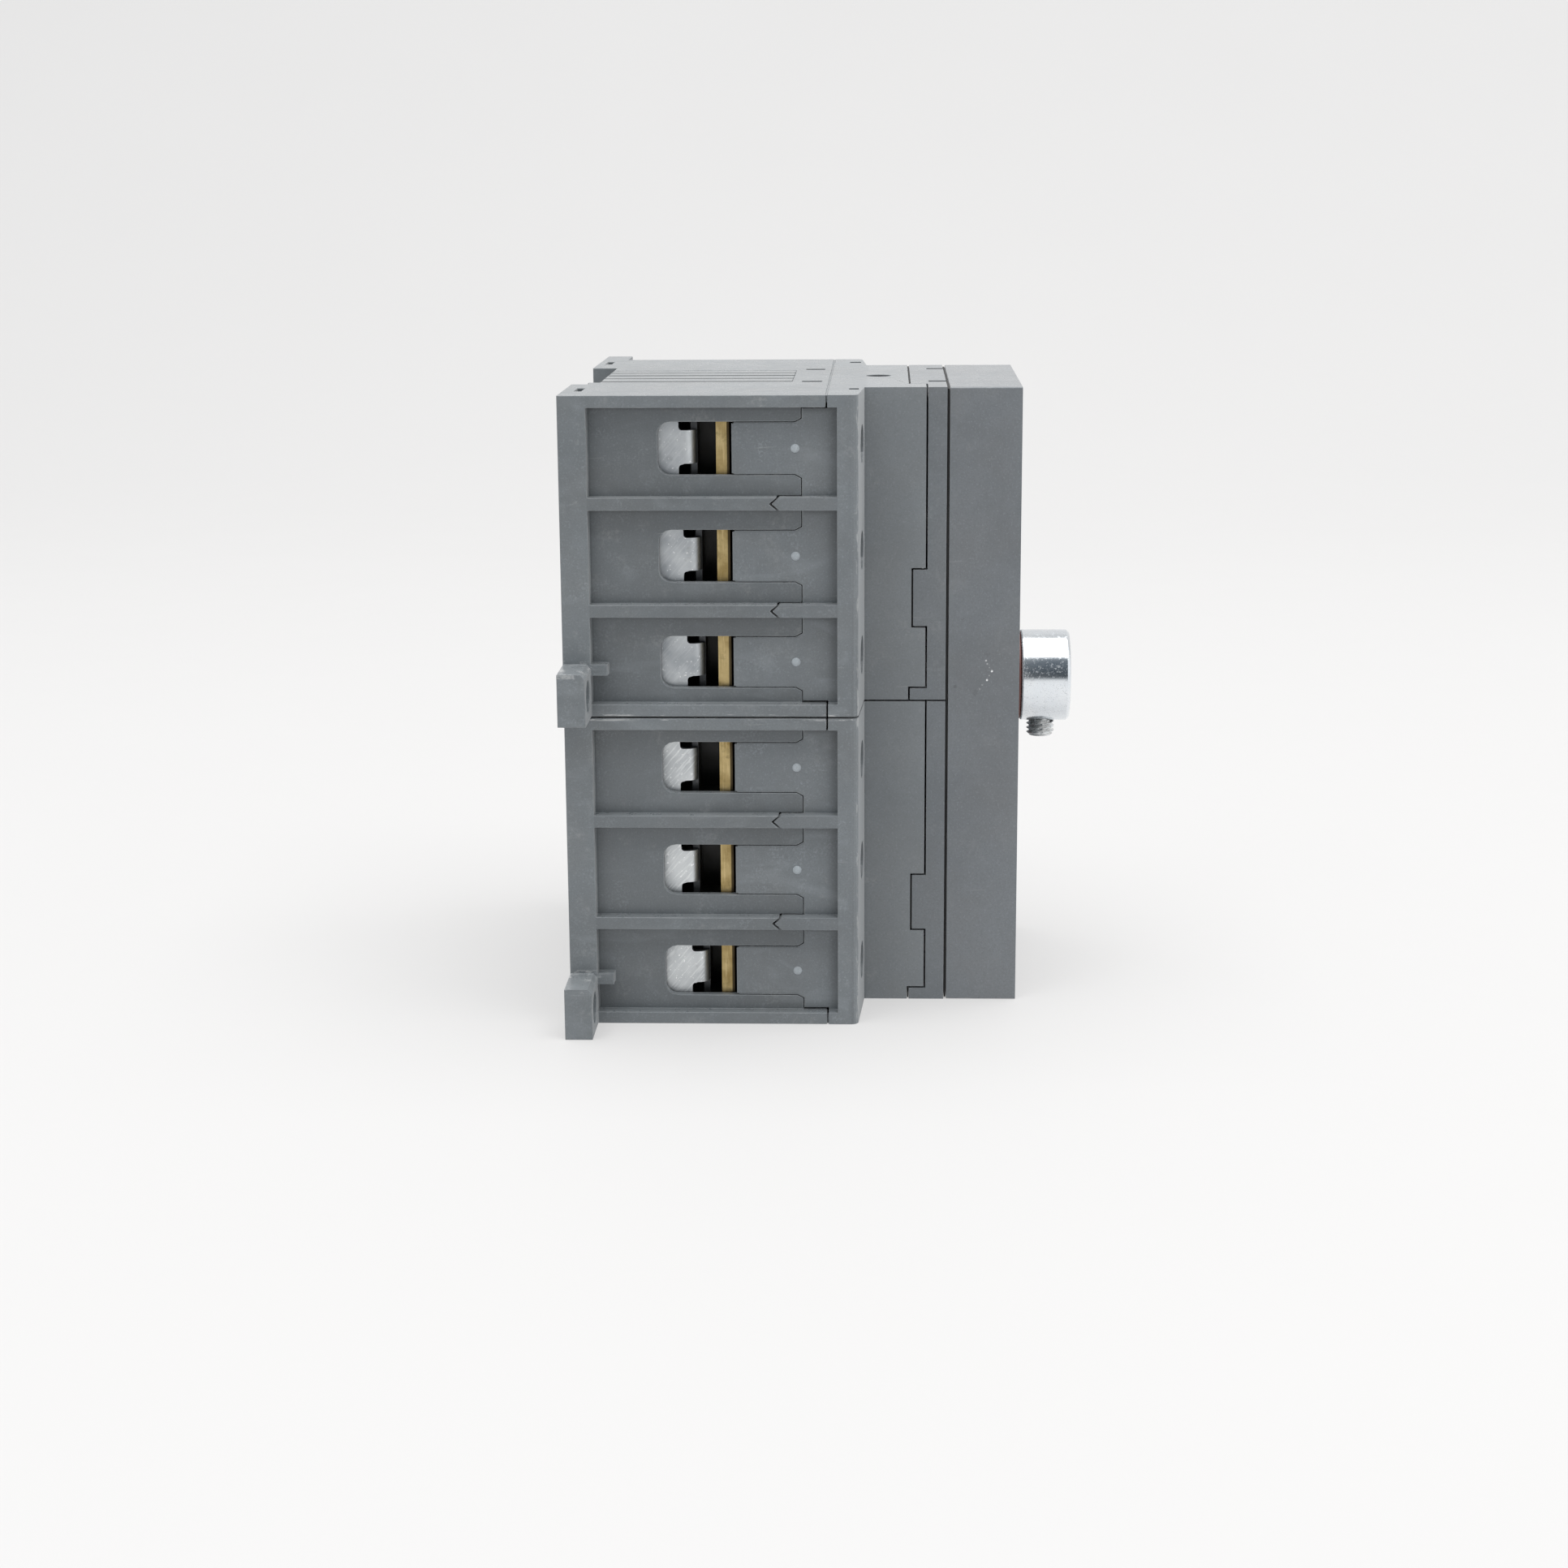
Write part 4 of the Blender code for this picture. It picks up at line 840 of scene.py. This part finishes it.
profile = [(5.9, ring_x[0])] + arc(7.65, ring_x[0] + 0.2, 0.2, -90, 0, 3) + arc(7.65, ring_x[1] - 0.2, 0.2, 0, 90, 3) + [(5.9, ring_x[1])]
bm = lathe(profile, 128)
bmesh.ops.transform(bm, matrix=Matrix.Translation(P(0, 0, SPINDLE_Z)) @ Matrix.Scale(MM, 4), verts=bm.verts)
add("spindle_ring_fine", bm, "ring", "spindle", ("spindle_ring",), 40.0)


def grub_screw():
    """M5 x 0.8 set screw with real thread, hexagon socket in its outer end."""
    bm = bmesh.new()
    segs, pitch, length = 56, 0.8, 6.05
    r_out, r_in = 2.44, 1.98
    rows = 76
    grid = []
    for i in range(rows + 1):
        z = -length * i / rows
        ring = []
        for k in range(segs):
            turn = k / segs
            u = ((-z / pitch) + turn) % 1.0
            flank = abs(u - 0.5) * 2.0
            depth = min(1.0, max(0.0, (flank - 0.12) / 0.76))
            r = r_out + (r_in - r_out) * depth
            near_end = min(-z, length + z)
            r = min(r, r_in - 0.05 + near_end * 1.0)
            a = math.tau * turn
            ring.append(bm.verts.new((r * math.cos(a), r * math.sin(a), z)))
        grid.append(ring)
    for a, b in zip(grid, grid[1:]):
        for k in range(segs):
            j = (k + 1) % segs
            bm.faces.new((a[k], a[j], b[j], b[k]))
    bm.faces.new(grid[0])
    # outer end: flat ring, hexagon socket
    hexa = 1.25
    def socket_ring(scale, z):
        ring = []
        for k in range(segs):
            a = math.tau * k / segs
            sector = (a + math.pi / 6) % (math.pi / 3) - math.pi / 6
            r = hexa * scale / math.cos(sector)
            ring.append(bm.verts.new((r * math.cos(a), r * math.sin(a), z)))
        return ring
    mouth = socket_ring(1.1, -length)
    inside = socket_ring(1.0, -length + 0.15)
    floor = socket_ring(1.0, -length + 2.2)
    for a, b in ((grid[-1], mouth), (mouth, inside), (inside, floor)):
        for k in range(segs):
            j = (k + 1) % segs
            bm.faces.new((a[k], a[j], b[j], b[k]))
    bm.faces.new(list(reversed(floor)))
    bmesh.ops.recalc_face_normals(bm, faces=bm.faces)
    low, high = node_low_high("coupler_set_screw")
    here = Matrix.Translation(Vector(((low.x + high.x) / 2, (low.y + high.y) / 2, high.z))) @ Matrix.Scale(MM, 4)
    bmesh.ops.transform(bm, matrix=here, verts=bm.verts)
    add("grub_screw_threaded", bm, "grub", "set_screw", ("coupler_set_screw",), 50.0)


grub_screw()


# ------------------------------------------------------------ stage and lights
def stage_material(name, tone, glow, rough=0.75):
    m = Nodes(name, ior=1.4)
    soft = m.noise(2.2, 3.0, 0.5)
    marks = m.noise(11.0, 5.0, 0.6)
    x, y, z = m.axes()
    # painted shade: the paper is coloured darker towards the back and up the sweep; the glow below is painted light
    # that lifts the shadows on it
    colour = m.mix(m.remap(y, -0.3, 0.7), tone, scaled(tone, 0.93))
    colour = m.mix(m.remap(z, 0.02, 0.9), colour, scaled(tone, 0.84))
    colour = m.mix(m.math("MULTIPLY", m.remap(soft, 0.3, 0.7), 0.3), colour, scaled(tone, 0.98))
    colour = m.mix(m.math("MULTIPLY", m.remap(marks, 0.66, 0.8), 0.05), colour, scaled(tone, 0.8))
    m.set(Base_Color=colour, Roughness=m.remap(marks, 0.3, 0.7, rough, rough + 0.1))
    m.shader.inputs["Emission Color"].default_value = (1.0, 0.993, 0.991, 1.0)
    m.shader.inputs["Emission Strength"].default_value = glow
    return m.mat


def sweep():
    """Seamless paper: flat floor that curves up behind the object."""
    bm = bmesh.new()
    points = [(-2.6, 0.0), (-1.2, 0.0), (-0.4, 0.0), (0.2, 0.0), (0.55, 0.0)]
    radius = 0.6
    for k in range(1, 17):
        a = math.radians(90.0 * k / 16)
        points.append((0.55 + radius * math.sin(a), radius * (1 - math.cos(a))))
    points.append((0.55 + radius, 2.4))
    rows = []
    for y, z in points:
        rows.append([bm.verts.new((x, y, z)) for x in (-3.2, -1.2, 0.0, 1.2, 3.2)])
    for a, b in zip(rows, rows[1:]):
        for k in range(4):
            bm.faces.new((a[k], a[k + 1], b[k + 1], b[k]))
    mesh = bpy.data.meshes.new("paper_sweep")
    bm.to_mesh(mesh)
    bm.free()
    mesh.materials.append(stage_material("paper", (0.3, 0.298, 0.296), 0.42))
    mesh.shade_smooth()
    obj = bpy.data.objects.new("paper_sweep", mesh)
    bpy.context.scene.collection.objects.link(obj)
    return obj


floor = sweep()

SIDE_LIGHT = 1.0
world = bpy.data.worlds.new("studio")
bpy.context.scene.world = world
world.use_nodes = True
tree = world.node_tree
tree.nodes.clear()
out = tree.nodes.new("ShaderNodeOutputWorld")
lit = tree.nodes.new("ShaderNodeBackground")
seen = tree.nodes.new("ShaderNodeBackground")
pick = tree.nodes.new("ShaderNodeMixShader")
path = tree.nodes.new("ShaderNodeLightPath")
coord = tree.nodes.new("ShaderNodeTexCoord")
split = tree.nodes.new("ShaderNodeSeparateXYZ")
tree.links.new(coord.outputs["Generated"], split.inputs[0])


def world_ramp(value, lo, hi, out_lo, out_hi):
    node = tree.nodes.new("ShaderNodeMapRange")
    node.interpolation_type = "SMOOTHSTEP"
    for name, number in (("From Min", lo), ("From Max", hi), ("To Min", out_lo), ("To Max", out_hi)):
        node.inputs[name].default_value = number
    tree.links.new(value, node.inputs["Value"])
    return node.outputs["Result"]


def world_math(op, a, b=0.0):
    node = tree.nodes.new("ShaderNodeMath")
    node.operation = op
    for socket, value in ((node.inputs[0], a), (node.inputs[1], b)):
        if isinstance(value, float):
            socket.default_value = value
        else:
            tree.links.new(value, socket)
    return node.outputs[0]


# white walls left and right, a dark gap in front where the room opens, a paler ceiling
dx, dy, dz = split.outputs
opening = world_ramp(world_math("ABSOLUTE", dx), 0.26, 0.42, 1.0, 0.0)
opening = world_math("MULTIPLY", opening, world_ramp(dz, -0.03, 0.015, 0.0, 1.0))
opening = world_math("MULTIPLY", opening, world_ramp(dz, 0.79, 0.84, 1.0, 0.0))
opening = world_math("MULTIPLY", opening, world_ramp(dy, -0.05, 0.0, 1.0, 0.0))
walls = world_math("MULTIPLY", world_ramp(dz, 0.55, 0.95, SIDE_LIGHT, 0.7), 1.0)
room = world_ramp(dz, 0.05, 0.75, 0.07, 0.17)
level = world_math("ADD", world_math("MULTIPLY", walls, world_math("SUBTRACT", 1.0, opening)), world_math("MULTIPLY", opening, room))
tree.links.new(level, lit.inputs["Strength"])
tint = tree.nodes.new("ShaderNodeMix")
tint.data_type = "RGBA"
tree.links.new(opening, tint.inputs[0])
tint.inputs[6].default_value = (0.985, 0.995, 1.0, 1.0)
tint.inputs[7].default_value = (0.72, 0.86, 1.0, 1.0)
tree.links.new(tint.outputs[2], lit.inputs["Color"])
seen.inputs["Color"].default_value = (0.9, 0.895, 0.89, 1.0)
seen.inputs["Strength"].default_value = 1.0
tree.links.new(path.outputs["Is Camera Ray"], pick.inputs[0])
tree.links.new(lit.outputs[0], pick.inputs[1])
tree.links.new(seen.outputs[0], pick.inputs[2])
tree.links.new(pick.outputs[0], out.inputs["Surface"])


def area(name, at, towards, size, energy, colour=(1.0, 1.0, 1.0), size_y=None):
    data = bpy.data.lights.new(name, "AREA")
    data.shape = "RECTANGLE"
    data.size = size
    data.size_y = size_y or size
    data.energy = energy
    data.color = colour
    obj = bpy.data.objects.new(name, data)
    bpy.context.scene.collection.objects.link(obj)
    obj.location = at
    obj.rotation_euler = (Vector(towards) - Vector(at)).to_track_quat("-Z", "Y").to_euler()
    return obj


area("overhead", (0.2, -0.15, 1.5), (0.2, -0.15, 0.0), 1.8, 32.0, (1.0, 0.998, 0.995), 1.5)

# --------------------------------------------------------------------- camera
camera_data = bpy.data.cameras.new("camera")
camera = bpy.data.objects.new("camera", camera_data)
bpy.context.scene.collection.objects.link(camera)
bpy.context.scene.camera = camera
camera_data.sensor_fit = "AUTO"
camera_data.sensor_width = 36.0
camera_data.lens = 3393.2013757 / 1932.0 * 36.0
camera_data.clip_start, camera_data.clip_end = 0.02, 30.0
pitch, yaw, roll = 0.2263752519, -0.0378973895, -0.0062657369
ahead = Vector((math.sin(yaw) * math.cos(pitch), math.cos(yaw) * math.cos(pitch), -math.sin(pitch)))
right = Vector((math.cos(yaw), -math.sin(yaw), 0.0))
upward = right.cross(ahead)
right_r = right * math.cos(roll) + upward * math.sin(roll)
up_r = -right * math.sin(roll) + upward * math.cos(roll)
turn = Matrix((right_r, up_r, -ahead)).transposed().to_4x4()
camera.matrix_world = Matrix.Translation((0.01035657, -0.480579, 0.14338744)) @ turn

bpy.context.scene.view_settings.view_transform = "Standard"
bpy.context.scene.view_settings.look = "None"
bpy.context.scene.view_settings.exposure = 0.0
bpy.context.scene.view_settings.gamma = 1.0
